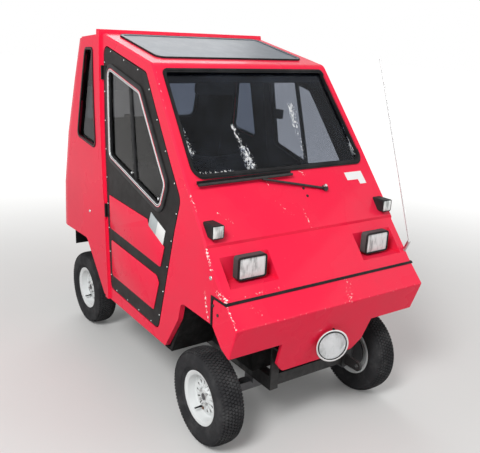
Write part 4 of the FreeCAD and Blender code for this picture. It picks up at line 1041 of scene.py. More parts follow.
@dataclass
class Studio:
    """Camera, floor, lamps and background."""

    eye: Point = (-1.677, -2.590, 1.631)
    heading: float = math.radians(35.34)
    pitch: float = math.radians(16.91)
    roll: float = math.radians(2.78)
    focal_px: float = 641.6
    image_px: tuple[int, int] = (480, 453)
    sensor_mm: float = 36.0
    floor_half: float = 30.0
    ambient: float = 0.45
    aim: Point = (0.0, 0.0, 0.7)

    def camera(self) -> None:
        """Camera at the photograph's place and angle."""
        ahead = Vector((math.sin(self.heading), math.cos(self.heading), 0.0))
        forward = ahead * math.cos(self.pitch) - Vector((0.0, 0.0, math.sin(self.pitch)))
        level = Vector((math.cos(self.heading), -math.sin(self.heading), 0.0))
        up = level.cross(forward)
        right = level * math.cos(self.roll) + up * math.sin(self.roll)
        up = up * math.cos(self.roll) - level * math.sin(self.roll)
        data = bpy.data.cameras.new("camera")
        data.sensor_width = self.sensor_mm
        data.lens = self.focal_px * self.sensor_mm / self.image_px[0]
        camera = placed("camera", data)
        camera.matrix_world = Matrix.Translation(self.eye) @ Matrix((right, up, -forward)).transposed().to_4x4()
        bpy.context.scene.camera = camera

    def lamp(self, name: str, place: Sequence[float], power: float, size: float) -> None:
        """One soft lamp that looks at the middle of the car.

        Args:
            name: Its name.
            place: Its place.
            power: Its power in watts.
            size: Its size in metres.
        """
        data = bpy.data.lights.new(name, "AREA")
        data.energy = power
        data.size = size
        lamp = placed(name, data)
        lamp.location = place
        lamp.rotation_euler = (Vector(self.aim) - Vector(place)).to_track_quat("-Z", "Y").to_euler()

    def floor(self) -> None:
        """Pale floor that keeps the car's shadow."""
        bm = bmesh.new()
        bmesh.ops.create_grid(bm, x_segments=1, y_segments=1, size=self.floor_half)
        mesh = bpy.data.meshes.new("floor")
        bm.to_mesh(mesh)
        bm.free()
        shader = Shader("pale floor")
        grey = shader.mix(shader.noise(1.5), (0.62, 0.62, 0.61), (0.65, 0.65, 0.64))
        shader.set(base_color=grey, roughness=0.9, specular_ior_level=0.0)
        away = shader.step(shader.vector("LENGTH", shader.place, out="Value"), 1.2, 6.0, 0.06, 0.8)
        glow = shader.math("MULTIPLY", away, seen(shader.tree))
        shader.set(emission_color=(1.0, 1.0, 1.0), emission_strength=glow)
        mesh.materials.append(shader.material)
        placed("floor", mesh)

    def background(self) -> None:
        """White where the camera, a reflection or glass looks at it, and soft light elsewhere."""
        world = bpy.data.worlds.new("studio")
        bpy.context.scene.world = world
        world.use_nodes = True
        tree = world.node_tree
        light = tree.nodes["Background"]
        strength = tree.nodes.new("ShaderNodeMapRange")
        strength.inputs["To Min"].default_value = self.ambient
        strength.inputs["To Max"].default_value = 1.0
        tree.links.new(seen(tree), strength.inputs["Value"])
        light.inputs["Color"].default_value = (1.0, 1.0, 1.0, 1.0)
        tree.links.new(strength.outputs[0], light.inputs["Strength"])

    def build(self) -> None:
        """Set the whole stage."""
        bpy.context.scene.view_settings.view_transform = "Standard"
        self.camera()
        self.floor()
        self.background()
        self.lamp("key", (-3.4, -2.6, 4.2), 225.0, 1.6)
        self.lamp("fill", (3.2, -3.6, 2.6), 40.0, 3.0)
        self.lamp("rear", (1.5, 4.0, 3.4), 70.0, 3.0)


@dataclass
class Bodywork:
    """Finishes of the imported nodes, where a star stands for each side's word, and the hood's sticker."""

    plain: tuple[tuple[Finish, str], ...] = (
        (MOULDING, "rear_shell body_band"),
        (NOSE_MOULDING, "front_shell"),
        (BUMPER_MOULDING, "nose_bumper"),
        (RUBBER, "bumper_seal windscreen_seal rear_apron"),
        (SCREEN_GLASS, "windscreen_glass"),
        (ROOF_PANEL_AND_PAINTED_SKY, "sunroof_panel"),
        (SMOKED_GLASS, "quarter_window_* rear_window"),
        (DOOR_GLASS, "door_glass_*"),
        (DOOR_BLACK, "door_*"),
        (UNDERSEAL, "floor_pan"),
        (BLACK_STEEL_AND_SHADE, "chassis_frame steering_column wiper"),
        (GREY_STEEL, "front_axle rear_axle knuckle_* drive_motor"),
        (BLACK_PLASTIC, "battery_block dashboard steering_wheel indicator_* interior_mirror"),
        (GREY_PLASTIC, "headlamp_*"),
        (RED_LENS, "tail_lamp_*"),
        (CHROME, "spot_lamp"),
        (STEEL, "aerial"),
        (CLOTH, "seat_cushion seat_back"),
        (WHITE_STEEL, "rim_front_* rim_rear_*"),
        (TYRE_RUBBER, "tyre_front_* tyre_rear_*"),
    )
    sticker: tuple[Corner, ...] = (
        (310.0, 1052.0), (412.0, 1052.0), (418.0, 1004.0), (380.0, 1004.0), (376.0, 1022.0), (314.0, 1022.0),
    )

    def build(self) -> None:
        """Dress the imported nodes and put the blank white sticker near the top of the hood."""
        for finish, nodes in self.plain:
            for node in nodes.split():
                for name in sorted({node.replace("*", side.word) for side in Side}):
                    dress(name, finish)
        sticker = Sketch().polygon(self.sticker).thicken(0.6, 0.1).put(on_slope)
        sticker.finish("hood_sticker", CLEAN_WHITE, Slot.WHITE)


@dataclass
class Windows:
    """Rubber rims of the fixed windows and the roof panel, and the lines beside the windscreen."""

    quarter: tuple[Corner, ...] = (
        (321.0, 1054.0, 30.0), (407.0, 1527.0, 25.0), (503.0, 1522.0, 25.0), (566.0, 1084.0, 30.0),
    )
    rear: tuple[Corner, ...] = (
        (352.0, 1120.0, 40.0), (334.0, 1470.0, 40.0), (-334.0, 1470.0, 40.0), (-352.0, 1120.0, 40.0),
    )
    panel: tuple[Corner, ...] = (
        (-392.0, -130.0, 40.0), (392.0, -130.0, 40.0), (392.0, 270.0, 40.0), (-392.0, 270.0, 40.0),
    )
    foot_z: float = 1082.0
    head_z: float = 1474.0
    foot_radius: float = 45.0
    head_radius: float = 25.0
    post: float = 35.0
    line_width: float = 1.7

    def screen(self, inset: float) -> list[Point]:
        """Outline of the windscreen's opening, moved inwards.

        Args:
            inset: Distance inwards.

        Returns:
            The outline.
        """
        low, high = half_width(self.foot_z) - self.post, half_width(self.head_z) - self.post
        corners = [(low, self.foot_z, self.foot_radius), (high, self.head_z, self.head_radius)]
        corners += [(-x, z, radius) for x, z, radius in reversed(corners)]
        return grown(corners, -inset)

    def rim(self, name: str, corners: Sequence[Corner], width: float, low: float, high: float, place: Place,
            finish: Finish = RUBBER, slot: Slot = Slot.RUBBER) -> None:
        """One ring of trim on the car, of rubber unless another finish is given."""
        ring = Sketch().trim(corners, 60.0, width, low, high, min(1.6, width / 4))
        ring.put(place).finish(name, finish, slot)

    def build(self) -> None:
        """Make every rim."""
        self.rim("roof_panel_rim", grown(self.panel, 1.0), 5.0, -1.0, 7.9, on_roof)
        self.rim("rear_window_rim", grown(self.rear, 0.7), 13.4, -1.0, 4.0, on_tail)
        for side in Side:
            wall, word = on_side(side), side.word
            self.rim(f"quarter_rim_{word}", grown(self.quarter, 0.7), 13.4, -1.0, 4.0, wall)
            line = grown(self.quarter, -4.5)
            self.rim(f"quarter_line_{word}", line, 1.8, 3.6, 4.6, wall, FADED_RED, Slot.RED)
        self.rim("screen_bead", self.screen(2.0), 10.0, 3.0, 7.6, on_slope)
        self.lines()

    def lines(self) -> None:
        """Two fine red lines down the left side of the windscreen's rubber."""
        sketch = Sketch()
        for inset in (3.4, 8.2):
            (low_x, low_z, _), (high_x, high_z, _) = self.screen(inset)[:2]
            ends = ((low_x, low_z + self.foot_radius), (high_x, high_z - self.head_radius))
            sketch.polygon([*ends, *((x - self.line_width, z) for x, z in reversed(ends))])
        sketch.thicken(1.2, 7.2).put(on_slope).finish("screen_lines", DOOR_RED, Slot.RED)


@dataclass
class Fittings:
    """Bolts, lock, plugs and the wiper's small parts."""

    bumper_bolts: tuple[Pair, ...] = ((-770.0, 662.0), (-802.0, 635.0))
    lock: Pair = (-748.0, 763.0)
    rear_fitting: Pair = (405.0, 724.0)
    plugs: tuple[Pair, ...] = ((54.0, 1013.0), (60.0, 985.0))
    apron_bolts: tuple[float, ...] = (-380.0, -130.0, 130.0, 380.0)
    apron_y: float = 879.0
    apron_z: float = 532.0
    wiper_pivot: Pair = (161.0, 1007.0)
    blade: tuple[Pair, ...] = ((-446.0, 1068.0), (10.0, 1072.0))

    def build(self) -> None:
        """Make every fitting."""
        bolts = Sketch()
        for side in Side:
            for spot in self.bumper_bolts:
                bolts.stud(side, spot, -1.0, 3.0, 6.5, 5.33)
        bolts.finish("bumper_bolts", BLACK_STEEL_AND_SHADE, Slot.GREY_STEEL, 40.0)
        lock = Sketch().stud(Side.RIGHT, self.lock, -1.0, 2.2, 9.0, 7.38)
        lock.stud(Side.RIGHT, self.lock, -1.0, 4.0, 4.0, 3.28)
        lock.stud(Side.RIGHT, self.rear_fitting, -1.0, 3.0, 8.0, 6.56)
        lock.finish("side_locks", STEEL, Slot.STEEL, 40.0)
        plugs = Sketch()
        for x, z in self.plugs:
            plugs.rod(on_slope(x, z, -0.5), on_slope(x, z, 3.0), 6.5, 4.5, 20)
        plugs.finish("hood_plugs", BLACK_PLASTIC, Slot.BLACK_PLASTIC, 40.0)
        apron = Sketch()
        for x in self.apron_bolts:
            apron.rod((x, self.apron_y, self.apron_z), (x, self.apron_y + 5.0, self.apron_z), 7.0, 6.0, 6)
        apron.finish("apron_bolts", GREY_STEEL, Slot.GREY_STEEL, 30.0)
        self.wiper()

    def wiper(self) -> None:
        """Cap and blade rubber of the wiper."""
        x, z = self.wiper_pivot
        cap = Sketch().rod(on_slope(x, z, 15.0), on_slope(x, z, 23.0), 9.0, 6.0, 18)
        cap.finish("wiper_cap", STEEL, Slot.STEEL, 40.0)
        low, high = (Vector(on_slope(x, z, 9.6)) for x, z in self.blade)
        way = high - low
        turn = way.to_track_quat("X", "Z").to_matrix()
        rubber = Sketch().block((way.length, 4.0, 13.0), (low + high) / 2, turn)
        rubber.finish("wiper_rubber", RUBBER, Slot.RUBBER)


@dataclass
class Seat:
    """One padded place of the bench or its back, swollen by a cloth pass."""

    name: str
    outline: tuple[Corner, ...]
    x_from: float
    x_to: float
    node: str
    start: float = 5.0
    cap: float = 0.022
    voxel: float = 0.006
    pressure: float = 4.0
    frames: int = 20

    def build(self) -> None:
        """Make the pad and swell it."""
        sketch = Sketch().polygon(grown(self.outline, -self.start), 6, 60.0)
        sketch.thicken(self.x_to - self.x_from - 2 * self.start)
        sketch.put(lambda y, z, w: (self.x_from + self.start + w, y, z))
        pad = sketch.finish(self.name, CLOTH, Slot.CLOTH, 60.0)
        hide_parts(self.node)
        self.swell(pad)

    def swell(self, pad: bpy.types.Object) -> None:
        """Remesh the pad, blow it up as cloth, cap the movement and apply it.

        Args:
            pad: The pad.
        """
        scene = bpy.context.scene
        bpy.context.view_layer.objects.active = pad
        pad.data.remesh_voxel_size = self.voxel
        with bpy.context.temp_override(active_object=pad, object=pad, selected_objects=[pad]):
            bpy.ops.object.voxel_remesh()
        rest = [vert.co.copy() for vert in pad.data.vertices]
        cloth = pad.modifiers.new("cloth", "CLOTH")
        cloth.settings.use_pressure = True
        cloth.settings.uniform_pressure_force = self.pressure
        cloth.settings.effector_weights.gravity = 0.0
        cloth.point_cache.frame_start = 1
        cloth.point_cache.frame_end = self.frames
        for step in range(1, self.frames + 1):
            scene.frame_set(step)
        shaped = pad.evaluated_get(bpy.context.evaluated_depsgraph_get()).data
        moved = [vert.co.copy() for vert in shaped.vertices]
        pad.modifiers.remove(cloth)
        scene.frame_set(1)
        for vert, before, after in zip(pad.data.vertices, rest, moved):
            way = after - before
            if way.length > self.cap:
                way *= self.cap / way.length
            vert.co = before + way
        pad.data.shade_smooth()
        smooth = pad.modifiers.new("rounding", "SUBSURF")
        smooth.levels = 1
        smooth.render_levels = 1


@dataclass
class Cabin:
    """Seats, dial, switches, steering wheel pad, mirror face and visor strip."""

    half: float = 400.0
    split: float = 0.5
    wheel_centre: Point = (205.0, -290.0, 860.0)
    column_way: Point = (0.0, 0.8, 0.6)
    cushion: tuple[Corner, ...] = (
        (-215.0, 452.0, 20.0), (-225.0, 543.0, 30.0), (252.0, 513.0, 12.0), (262.0, 452.0, 12.0),
    )
    back: tuple[Corner, ...] = (
        (172.0, 522.0, 15.0), (270.0, 1008.0, 30.0), (343.0, 998.0, 30.0), (247.0, 518.0, 15.0),
    )
    dial_centre: Point = (205.0, -446.0, 922.0)
    dial_tilt: float = math.radians(-62.0)
    first_switch: Point = (-60.0, -427.0, 866.0)
    switch_pitch: float = 34.0
    mirror_centre: Point = (-120.0, -143.0, 1385.0)
    visor: tuple[Corner, ...] = ((-416.0, -14.0), (416.0, -14.0), (412.0, 42.0), (-412.0, 42.0))
    visor_z: float = 1441.0

    def build(self) -> None:
        """Make everything inside."""
        self.seats()
        self.dials()
        self.steering()
        self.mirror()
        self.visor_strip()

    def seats(self) -> None:
        """Two cushions and two backs."""
        for word, x_from, x_to in (("right", -self.half, -self.split), ("left", self.split, self.half)):
            Seat(f"cushion_{word}", self.cushion, x_from, x_to, "seat_cushion").build()
            Seat(f"backrest_{word}", self.back, x_from, x_to, "seat_back").build()

    def dials(self) -> None:
        """Dial under its hood and a row of switches."""
        dial = Sketch().lathe([(0.0, 42.0), (4.0, 40.0), (4.0, 36.0), (1.5, 34.0), (1.5, 0.01)], 40, False)
        dial.turn(Matrix.Translation(self.dial_centre) @ Matrix.Rotation(self.dial_tilt, 4, "X"))
        dial.finish("dial", BLACK_PLASTIC, Slot.BLACK_PLASTIC)
        switches = Sketch()
        x, y, z = self.first_switch
        for step in range(5):
            switches.block((22.0, 8.0, 14.0), (x + step * self.switch_pitch, y, z))
        switches.soften(1.5).finish("dash_switches", BLACK_PLASTIC, Slot.BLACK_PLASTIC)

    def steering(self) -> None:
        """Soft pad in the middle of the steering wheel."""
        way = Vector(self.column_way)
        centre = Vector(self.wheel_centre) + way * 10.0
        pad = Sketch().rod(centre, centre + way * 12.0, 46.0, 40.0, 40).soften(4.0, 3, 40.0)
        pad.finish("steering_pad", BLACK_PLASTIC, Slot.BLACK_PLASTIC, 40.0, body=Body.STEERING.value)

    def mirror(self) -> None:
        """Reflecting face of the inside mirror."""
        face = Sketch().polygon(square(192.0, 48.0, 15.0), 6).thicken(0.6, 0.1)
        x, y, z = self.mirror_centre
        face.put(lambda u, v, w: (x + u, y + w, z + v))
        face.finish("mirror_face", MIRROR, Slot.CHROME)

    def visor_strip(self) -> None:
        """Dark visor strip behind the head of the windscreen."""
        strip = Sketch().polygon(self.visor).thicken(4.0)
        strip.put(lambda u, v, w: on_slope(u, self.visor_z + v, -15.0 - w))
        strip.finish("visor_strip", LINING, Slot.BLACK_PLASTIC)


@dataclass(frozen=True)
class Band:
    """One ring of trim round a door's window: how far out, how wide, from and to where it stands proud."""

    name: str
    grow: float
    width: float
    low: float
    high: float
    round_by: float
    finish: Finish
    slot: Slot


@dataclass
class Door:
    """Red panels, window trim, divider, fasteners and plate of one door."""

    side: Side
    outline: tuple[Corner, ...] = (
        (158.0, 398.0, 26.0), (-334.0, 384.0, 40.0), (-507.0, 1000.0, 56.0), (-163.0, 1450.0, 42.0),
        (276.0, 1541.0, 30.0), (183.0, 880.0),
    )
    window: tuple[Corner, ...] = (
        (152.0, 1052.0, 35.0), (-352.0, 925.0, 35.0), (-392.0, 1035.0, 35.0), (-124.0, 1372.0, 35.0),
        (213.0, 1450.0, 30.0),
    )
    upper_panel: tuple[Corner, ...] = (
        (151.0, 867.0, 6.0), (-240.0, 853.0, 4.0), (-255.0, 826.0, 3.0), (-393.0, 774.0, 6.0),
        (-359.0, 676.0, 12.0), (147.0, 706.0, 12.0),
    )
    lower_panel: tuple[Corner, ...] = (
        (138.0, 648.0, 10.0), (-323.0, 627.0, 14.0), (-346.0, 600.0, 14.0), (-296.0, 459.0, 8.0),
        (135.0, 469.0, 20.0),
    )
    divider: tuple[Corner, ...] = ((-22.0, 1396.0), (0.0, 1396.0), (-101.0, 990.0), (-123.0, 990.0))
    plate: tuple[Corner, ...] = ((-274.0, 892.0), (-401.0, 845.0), (-380.0, 779.0), (-250.0, 829.0))
    bands: tuple[Band, ...] = (
        Band("window_rubber", 22.8, 24.8, -2.0, 6.0, 2.6, GLOSSY_RUBBER, Slot.RUBBER),
        Band("window_line", 3.0, 2.5, 4.6, 6.8, 0.7, DOOR_RED, Slot.RED),
        Band("window_frame_outer", 1.0, 3.4, -6.0, 7.5, 1.1, ALUMINIUM, Slot.STEEL),
        Band("window_groove", -2.2, 3.4, -6.0, 5.6, 0.6, RUBBER, Slot.RUBBER),
        Band("window_frame_inner", -5.2, 4.2, -6.0, 7.0, 1.3, ALUMINIUM, Slot.STEEL),
        Band("window_channel", -9.0, 4.0, -8.0, 3.0, 0.8, RUBBER, Slot.RUBBER),
    )
    latch_spot: Pair = (76.0, 1226.0)
    knobs: tuple[Pair, ...] = ((-67.0, 1016.0), (-320.0, 959.0))
    rivet_inset: float = 7.0
    rivet_pitch: float = 118.0

    @property
    def body(self) -> str:
        """Body that the door's pieces ride on."""
        return f"door_{self.side.word}"

    def add(self, sketch: Sketch, name: str, finish: Finish, slot: Slot, crease: float = 32.0) -> None:
        """Make a piece that rides on the door, with the side's word in its name."""
        sketch.finish(f"{name}_{self.side.word}", finish, slot, crease, self.body)

    def build(self) -> None:
        """Make every piece on the door."""
        wall = on_side(self.side)
        for name, corners in (("upper", self.upper_panel), ("lower", self.lower_panel)):
            panel = Sketch().polygon(grown(corners, 0.7), 6, 80.0).thicken(2.9, 0.2).soften(1.0).put(wall)
            self.add(panel, f"door_panel_{name}", DOOR_RED, Slot.RED)
        for band in self.bands:
            outline = grown(self.window, band.grow)
            ring = Sketch().trim(outline, 70.0, band.width, band.low, band.high, band.round_by)
            self.add(ring.put(wall), band.name, band.finish, band.slot)
        divider = Sketch().polygon(self.divider, 4, 70.0).thicken(12.0, -14.0).soften(1.5).put(wall)
        self.add(divider, "window_divider", BLACK_PLASTIC, Slot.BLACK_PLASTIC)
        y, z = self.latch_spot
        latch = Sketch().block((24.0, 52.0, 48.0), (self.side.value * (half_width(z) - 52.0), y, z)).soften(4.0)
        self.add(latch, "latch_box", BLACK_PLASTIC, Slot.BLACK_PLASTIC)
        knobs = Sketch()
        for spot in self.knobs:
            knobs.stud(self.side, spot, -12.0, -3.0, 7.0, 6.0, 18)
        self.add(knobs.soften(1.0, 2, 50.0), "pane_knobs", ALUMINIUM, Slot.STEEL)
        self.rivets()
        self.cover()

    def rivets(self) -> None:
        """Small bright fasteners round the door's edge."""
        corners = grown(self.outline, -self.rivet_inset)
        sketch = Sketch()
        for index, corner in enumerate(corners):
            start, end = Vector(corner[:2]), Vector(corners[(index + 1) % len(corners)][:2])
            way = end - start
            count = max(1, round((way.length - 60.0) / self.rivet_pitch))
            for step in range(count):
                sketch.stud(self.side, start + way * ((step + 0.5) / count), -1.0, 1.6, 3.4, 2.2, 12)
        self.add(sketch, "door_rivets", CLEAN_WHITE, Slot.WHITE, 50.0)

    def cover(self) -> None:
        """Two-tone handle plate at the door's front edge."""
        a, b, c, d = [Vector(p) for p in self.plate]
        top, foot = (a + b) / 2, (c + d) / 2
        halves = (("grey", (a, top, foot, d), GREY_CARD), ("white", (top, b, c, foot), CLEAN_WHITE))
        for name, corners, finish in halves:
            half = Sketch().polygon(corners).thicken(2.4, 0.2).soften(0.5).put(on_side(self.side))
            self.add(half, f"door_plate_{name}", finish, Slot.STEEL)


@dataclass
class Wheel:
    """Tyre with its tread and dished steel rim, turned about the axle at the origin and then put in place."""

    name: str
    side: Side
    centre: Point
    radius: float = 202.0
    stem: Pair = (28.0, -62.0)
    pitches: int = 84
    block_share: float = 0.66
    block_skew: float = 18.0
    tallest: float = 4.6
    rows: tuple[tuple[float, float, float, float], ...] = (
        (-46.5, 8.5, 190.0, 40.0), (-34.5, 10.0, 196.3, 16.0), (-20.5, 11.0, 199.0, 4.0), (-6.8, 10.5, 199.6, 0.0),
        (6.8, 10.5, 199.6, 0.0), (20.5, 11.0, 199.0, -4.0), (34.5, 10.0, 196.3, -16.0), (46.5, 8.5, 190.0, -40.0),
    )
    tyre_profile: tuple[Pair, ...] = (
        (-38.0, 103.0), (38.0, 103.0), (41.0, 113.0), (44.0, 119.0), (49.0, 128.0), (51.0, 131.0), (53.0, 130.8),
        (54.5, 138.0), (56.0, 150.0), (56.0, 166.0), (54.0, 176.0), (50.0, 184.5), (44.0, 190.5), (34.0, 194.0),
        (20.0, 196.0), (-20.0, 196.0), (-34.0, 194.0), (-44.0, 190.5), (-50.0, 184.5), (-54.0, 176.0),
        (-56.0, 166.0), (-56.0, 150.0), (-54.5, 138.0), (-49.0, 128.0), (-41.0, 113.0),
    )
    rim_profile: tuple[Pair, ...] = (
        (-43.0, 111.0), (-43.0, 115.0), (-38.0, 115.0), (-37.0, 102.5), (38.0, 102.5), (38.0, 115.0),
        (43.0, 115.0), (43.0, 111.0), (40.0, 103.0), (37.0, 97.5), (20.0, 93.0), (6.0, 90.0), (3.5, 86.0),
        (4.0, 76.0), (8.0, 70.0), (8.5, 40.0), (14.0, 34.0), (18.0, 30.0), (18.0, 14.1), (-22.0, 14.1),
        (-22.0, 40.0), (-4.0, 44.0), (-4.0, 86.0), (-20.0, 96.0), (-38.0, 99.0),
    )
    ribs: int = 14
    rib_lean: float = 14.0
    nuts: int = 4

    def add(self, sketch: Sketch, name: str, finish: Finish, slot: Slot, crease: float = 32.0) -> bpy.types.Object:
        """Put a sketch on the axle as a piece that rides on the wheel."""
        turn = Matrix.Translation(self.centre) @ Matrix.Rotation(self.side.value * math.pi / 2, 4, "Y")
        return sketch.turn(turn).finish(name, finish, slot, crease, f"wheel_{self.name}")

    def tyre(self) -> None:
        """Carcass with a rib on its wall and rows of tread blocks."""
        sketch = Sketch().lathe(self.tyre_profile, 96)
        pitch = math.tau / self.pitches
        length = self.radius * pitch * self.block_share
        reach = 2.0 * math.sqrt(self.radius ** 2 - (length / 2) ** 2)
        for row, (across, width, middle, tilt) in enumerate(self.rows):
            skew = Matrix.Rotation(math.radians(math.copysign(self.block_skew, across)), 3, "X")
            lean = Matrix.Rotation(math.radians(tilt), 3, "Y")
            height = min(reach - 2.0 * middle, self.tallest)
            for step in range(self.pitches):
                around = Matrix.Rotation((step + 0.5 * (row % 2)) * pitch, 3, "Z")
                centre = around @ Vector((middle - 0.3, 0.0, across))
                sketch.block((height, length, width), centre, around @ lean @ skew)
        tyre = self.add(sketch, f"tread_tyre_{self.name}", TYRE_RUBBER, Slot.TYRE, 28.0)
        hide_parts(f"tyre_{self.name}")

    def spokes(self, sketch: Sketch, size: Corner, spot: Corner, offset: float, lean: float = 0.0) -> Sketch:
        """Add one box for each rib round the axle.

        Args:
            sketch: Where they go.
            size: Size of a box, outwards first.
            spot: Its middle, from the axle.
            offset: Share of a step by which they are turned.
            lean: Angle in degrees by which a box leans.

        Returns:
            The sketch.
        """
        tip = Matrix.Rotation(math.radians(lean), 3, "Y")
        for step in range(self.ribs):
            around = Matrix.Rotation(math.tau * (step + offset) / self.ribs, 3, "Z")
            sketch.block(size, around @ Vector(spot), around @ tip)
        return sketch

    def rim(self) -> None:
        """Dished rim with its ribbed centre, dark plates of painted shade where its slot holes are, nuts, cap and
        stem.
        """
        sketch = Sketch().lathe(self.rim_profile, 72)
        self.spokes(sketch, (34.0, 5.0, 7.0), (55.0, 0.0, 10.5), 0.0, self.rib_lean)
        rim = self.add(sketch, f"dished_rim_{self.name}", WHITE_STEEL, Slot.WHITE, 30.0)
        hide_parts(f"rim_{self.name}")
        # Thin dark plates flush on the dish stand for the slot holes: painted shade, no hole is cut
        slot_shade = self.spokes(Sketch(), (22.0, 5.5, 1.2), (58.0, 0.0, 8.4), 0.5)
        self.add(slot_shade, f"rim_slots_{self.name}", BLACK_STEEL_AND_SHADE, Slot.WHITE)
        bits = Sketch().rod((0, 0, 12.0), (0, 0, 21.0), 19.0, 16.0, 32)
        for step in range(self.nuts):
            spot = Matrix.Rotation(math.tau * (step + 0.5) / self.nuts, 3, "Z") @ Vector((29.0, 0.0, 16.0))
            bits.rod(spot, spot + Vector((0, 0, 8.0)), 6.5, 6.0, 6)
        self.add(bits.soften(0.8, 1, 40.0), f"hub_nuts_{self.name}", STEEL, Slot.GREY_STEEL, 30.0)
        across, up = self.stem
        stem = Sketch().rod((up, across, 4.0), (up, across, 20.0), 5.5, 4.5)
        stem.rod((up, across, 19.0), (up - 1.5, across + 2.0, 42.0), 3.6, 3.2)
        self.add(stem, f"valve_stem_{self.name}", RUBBER, Slot.RUBBER)
        if self.name == "front_right":
            rust = Sketch().rod((up - 5.0, across - 9.0, 5.0), (up - 5.0, across - 9.0, 11.5), 7.5, 5.0)
            self.add(rust, "rust_spot", RUSTY, Slot.WHITE)

    def build(self) -> None:
        """Make the tyre and the rim."""
        self.tyre()
        self.rim()


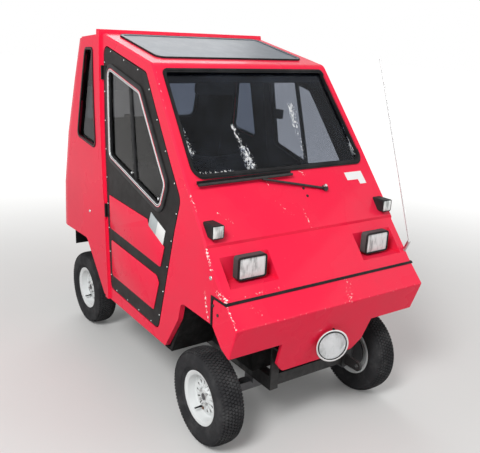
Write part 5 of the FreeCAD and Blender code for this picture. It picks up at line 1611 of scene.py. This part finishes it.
@dataclass
class Lamps:
    """Headlamps, indicators and the round lamp."""

    lamp_x: Pair = (264.0, 396.0)
    lamp_z: Pair = (744.0, 836.0)
    lamp_y: float = -788.0
    lamp_corner: float = 12.0
    lamp_steps: tuple[Pair, ...] = ((-30.0, 1.0), (-3.0, 0.94), (-19.0, 0.70))
    pod_x: float = 444.4
    pod_z: float = 922.0
    pod_y: float = -715.0
    pod_half: float = 27.0
    spot_face: Point = (1.0, -909.0, 435.0)
    spot_turn: float = math.radians(18.0)
    spot_radius: float = 72.0
    bar_pitch: float = 15.0

    def fluted(self, width: float, height: float, flutes: int, depth: float) -> Sketch:
        """Flat lens with upright flutes on its front.

        Args:
            width: Width of the lens.
            height: Height of the lens.
            flutes: Number of flutes.
            depth: Depth of each flute.

        Returns:
            The sketch, centred, with its front towards +w.
        """
        sketch = Sketch().grid(width, height, flutes * 4, 6)
        back = sketch.extrude(sketch.bm.faces[:], True)[1]
        bmesh.ops.translate(sketch.bm, vec=(0, 0, -3.0), verts=back)
        held = set(back)
        for vert in sketch.bm.verts:
            if vert not in held:
                edge = min((width / 2 - abs(vert.co.x)) / 8.0, (height / 2 - abs(vert.co.y)) / 8.0, 1.0)
                flute = depth * (0.5 - 0.5 * math.cos(math.tau * flutes * vert.co.x / width))
                vert.co.z += 3.0 * max(edge, 0.0) ** 0.5 - flute
        return sketch

    def headlamp(self, side: Side) -> None:
        """Tapered grey housing with a reflector and a fluted lens.

        Args:
            side: Which one.
        """
        (x_from, x_to), (z_from, z_to) = self.lamp_x, self.lamp_z
        width, height = x_to - x_from, z_to - z_from
        place = facing_front(side.value * (x_from + x_to) / 2, self.lamp_y, (z_from + z_to) / 2)
        housing = Sketch().polygon(square(width, height, self.lamp_corner), 5)
        front = housing.bm.faces[:]
        bmesh.ops.reverse_faces(housing.bm, faces=front)
        for depth, shrink in self.lamp_steps:
            front, verts = housing.extrude(front, False)
            bmesh.ops.translate(housing.bm, vec=(0, 0, depth), verts=verts)
            bmesh.ops.scale(housing.bm, vec=(shrink, shrink, 1.0), verts=verts)
        housing.put(lambda u, v, w: place(u, v, w - 6.0))
        solid = housing.finish(f"headlamp_housing_{side.word}", GREY_PLASTIC, Slot.GREY_PLASTIC)
        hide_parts(f"headlamp_{side.word}")
        rim = Sketch().polygon(square(width, height, self.lamp_corner), 5).ring(7.0).thicken(8.0, -8.0)
        rim.soften(1.2).put(place).finish(f"headlamp_rim_{side.word}", BLACK_PLASTIC, Slot.GREY_PLASTIC)
        mirror = Sketch().grid(width - 14.0, height - 14.0, 24, 16)
        for vert in mirror.bm.verts:
            reach = (2 * vert.co.x / width) ** 2 + (2 * vert.co.y / height) ** 2
            vert.co.z = -26.0 + 20.0 * min(reach, 1.2)
        mirror.put(lambda u, v, w: place(u, v, min(w, -5.6)))
        mirror.finish(f"headlamp_mirror_{side.word}", MIRROR, Slot.CHROME, 60.0)
        lens = self.fluted(width - 13.0, height - 13.0, 14, 1.1).put(lambda u, v, w: place(u, v, w - 3.2))
        lens.finish(f"headlamp_lens_{side.word}", LAMP_GLASS, Slot.GLASS, 60.0)

    def indicator(self, side: Side) -> None:
        """Bright plate and clear fluted lens in the recess of a pod.

        Args:
            side: Which one.
        """
        place = facing_front(side.value * self.pod_x, self.pod_y, self.pod_z)
        inner, outer = 2 * self.pod_half - 10.4, 2 * self.pod_half - 0.2
        plate = Sketch().polygon(square(inner, inner, 4.0), 4).thicken(0.5, 1.1).put(place)
        plate.finish(f"indicator_plate_{side.word}", MIRROR, Slot.CHROME)
        lens = self.fluted(inner + 0.8, inner + 0.8, 8, 0.8).put(lambda u, v, w: place(u, v, w + 2.2))
        lens.finish(f"indicator_lens_{side.word}", POD_GLASS, Slot.GLASS, 60.0)
        rim = Sketch().polygon(square(outer, outer, 9.0), 6).ring(4.4).thicken(2.6, -1.0).soften(0.8).put(place)
        rim.finish(f"indicator_rim_{side.word}", BLACK_PLASTIC, Slot.BLACK_PLASTIC)

    def round_lamp(self) -> None:
        """Chrome shell with its stud, reflector, bulb cap, lens with bars, gasket and clip of the round lamp."""
        radius = self.spot_radius
        way = Vector((math.sin(self.spot_turn), math.cos(self.spot_turn), 0.0))
        turn = Matrix.Translation(self.spot_face) @ way.to_track_quat("Z", "Y").to_matrix().to_4x4()
        shell = [
            (2.4, radius - 12.0), (0.2, radius - 9.5), (-0.6, radius - 5.0), (0.4, radius - 1.6), (3.4, radius),
            (9.0, radius), (11.0, radius - 1.6), (15.0, radius - 6.0), (22.0, radius - 20.0), (30.0, 26.0),
            (30.0, 4.0), (27.0, 4.0), (24.0, 24.0), (12.0, radius - 13.0),
        ]
        body = Sketch().lathe(shell, 72).turn(turn)
        back = Vector(self.spot_face) + way * 28.0
        body.rod(back, back + Vector((0.0, 22.0, 0.0)), 9.0, 9.0, 20)
        solid = body.finish("round_lamp_shell", CHROME, Slot.CHROME, 40.0)
        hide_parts("spot_lamp")
        bowl = [(5.0 + 17.0 * (1.0 - (r / 60.0) ** 2), r) for r in (59.5, 54.0, 47.0, 39.0, 30.0, 20.0, 10.0, 0.01)]
        mirror = Sketch().lathe(bowl, 48, False).turn(turn)
        mirror.finish("round_lamp_mirror", MIRROR, Slot.CHROME, 60.0)
        bulb = Sketch().ball((0.0, 0.0, 12.0), 9.0, (1.0, 1.0, 0.8), 8).turn(turn)
        bulb.finish("round_lamp_bulb", MIRROR, Slot.CHROME, 60.0)
        dome = [(-5.6 + 6.6 * (r / 60.0) ** 2, r) for r in (0.01, 12.0, 24.0, 36.0, 48.0, 56.0, 60.0)]
        lens = Sketch().lathe(dome + [(2.6, 60.0), (-1.0, 40.0), (-2.6, 20.0), (-3.2, 0.01)], 48, False)
        for x in (step * self.bar_pitch for step in range(-3, 4)):
            span = math.sqrt(56.0 ** 2 - x ** 2)
            lens.block((2.0, 1.9 * span, 1.2), (x, 0.0, -2.6 + 0.0016 * x ** 2))
        lens.turn(turn).finish("round_lamp_lens", ROUND_GLASS, Slot.GLASS, 60.0)
        gasket = Sketch().lathe([(-1.6, 59.4), (-1.6, 62.6), (3.0, 62.6), (3.0, 59.4)], 72).turn(turn)
        gasket.finish("round_lamp_gasket", RUBBER, Slot.RUBBER)
        clip = Sketch().block((10.0, 4.0, 12.0), (0.0, 0.0, 4.0)).soften(1.0)
        up = Vector((0.0, 0.0, radius + 0.6))
        clip.put(lambda x, y, z: tuple(Vector(self.spot_face) + up + Vector((x, y, 0.0)) + way * z))
        clip.finish("round_lamp_clip", BLACK_STEEL_AND_SHADE, Slot.GREY_STEEL)

    def build(self) -> None:
        """Make every lamp."""
        for side in Side:
            self.headlamp(side)
            self.indicator(side)
        self.round_lamp()


def main() -> None:
    """Build the stage and every sub-assembly."""
    logging.basicConfig(level=logging.INFO, format="%(name)s: %(message)s")
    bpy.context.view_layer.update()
    Studio().build()
    LOG.info("stage ready")
    Bodywork().build()
    LOG.info("bodywork ready")
    for side in Side:
        Door(side).build()
        LOG.info("%s door ready", side.word)
        for end, x, y in (("front", 422.0, -650.0), ("rear", 378.0, 650.0)):
            Wheel(f"{end}_{side.word}", side, (side.value * x, y, Wheel.radius)).build()
        LOG.info("%s wheels ready", side.word)
    Windows().build()
    Fittings().build()
    LOG.info("windows and fittings ready")
    Lamps().build()
    LOG.info("lamps ready")
    Cabin().build()
    LOG.info("cabin ready")


if __name__ == "__main__":
    main()
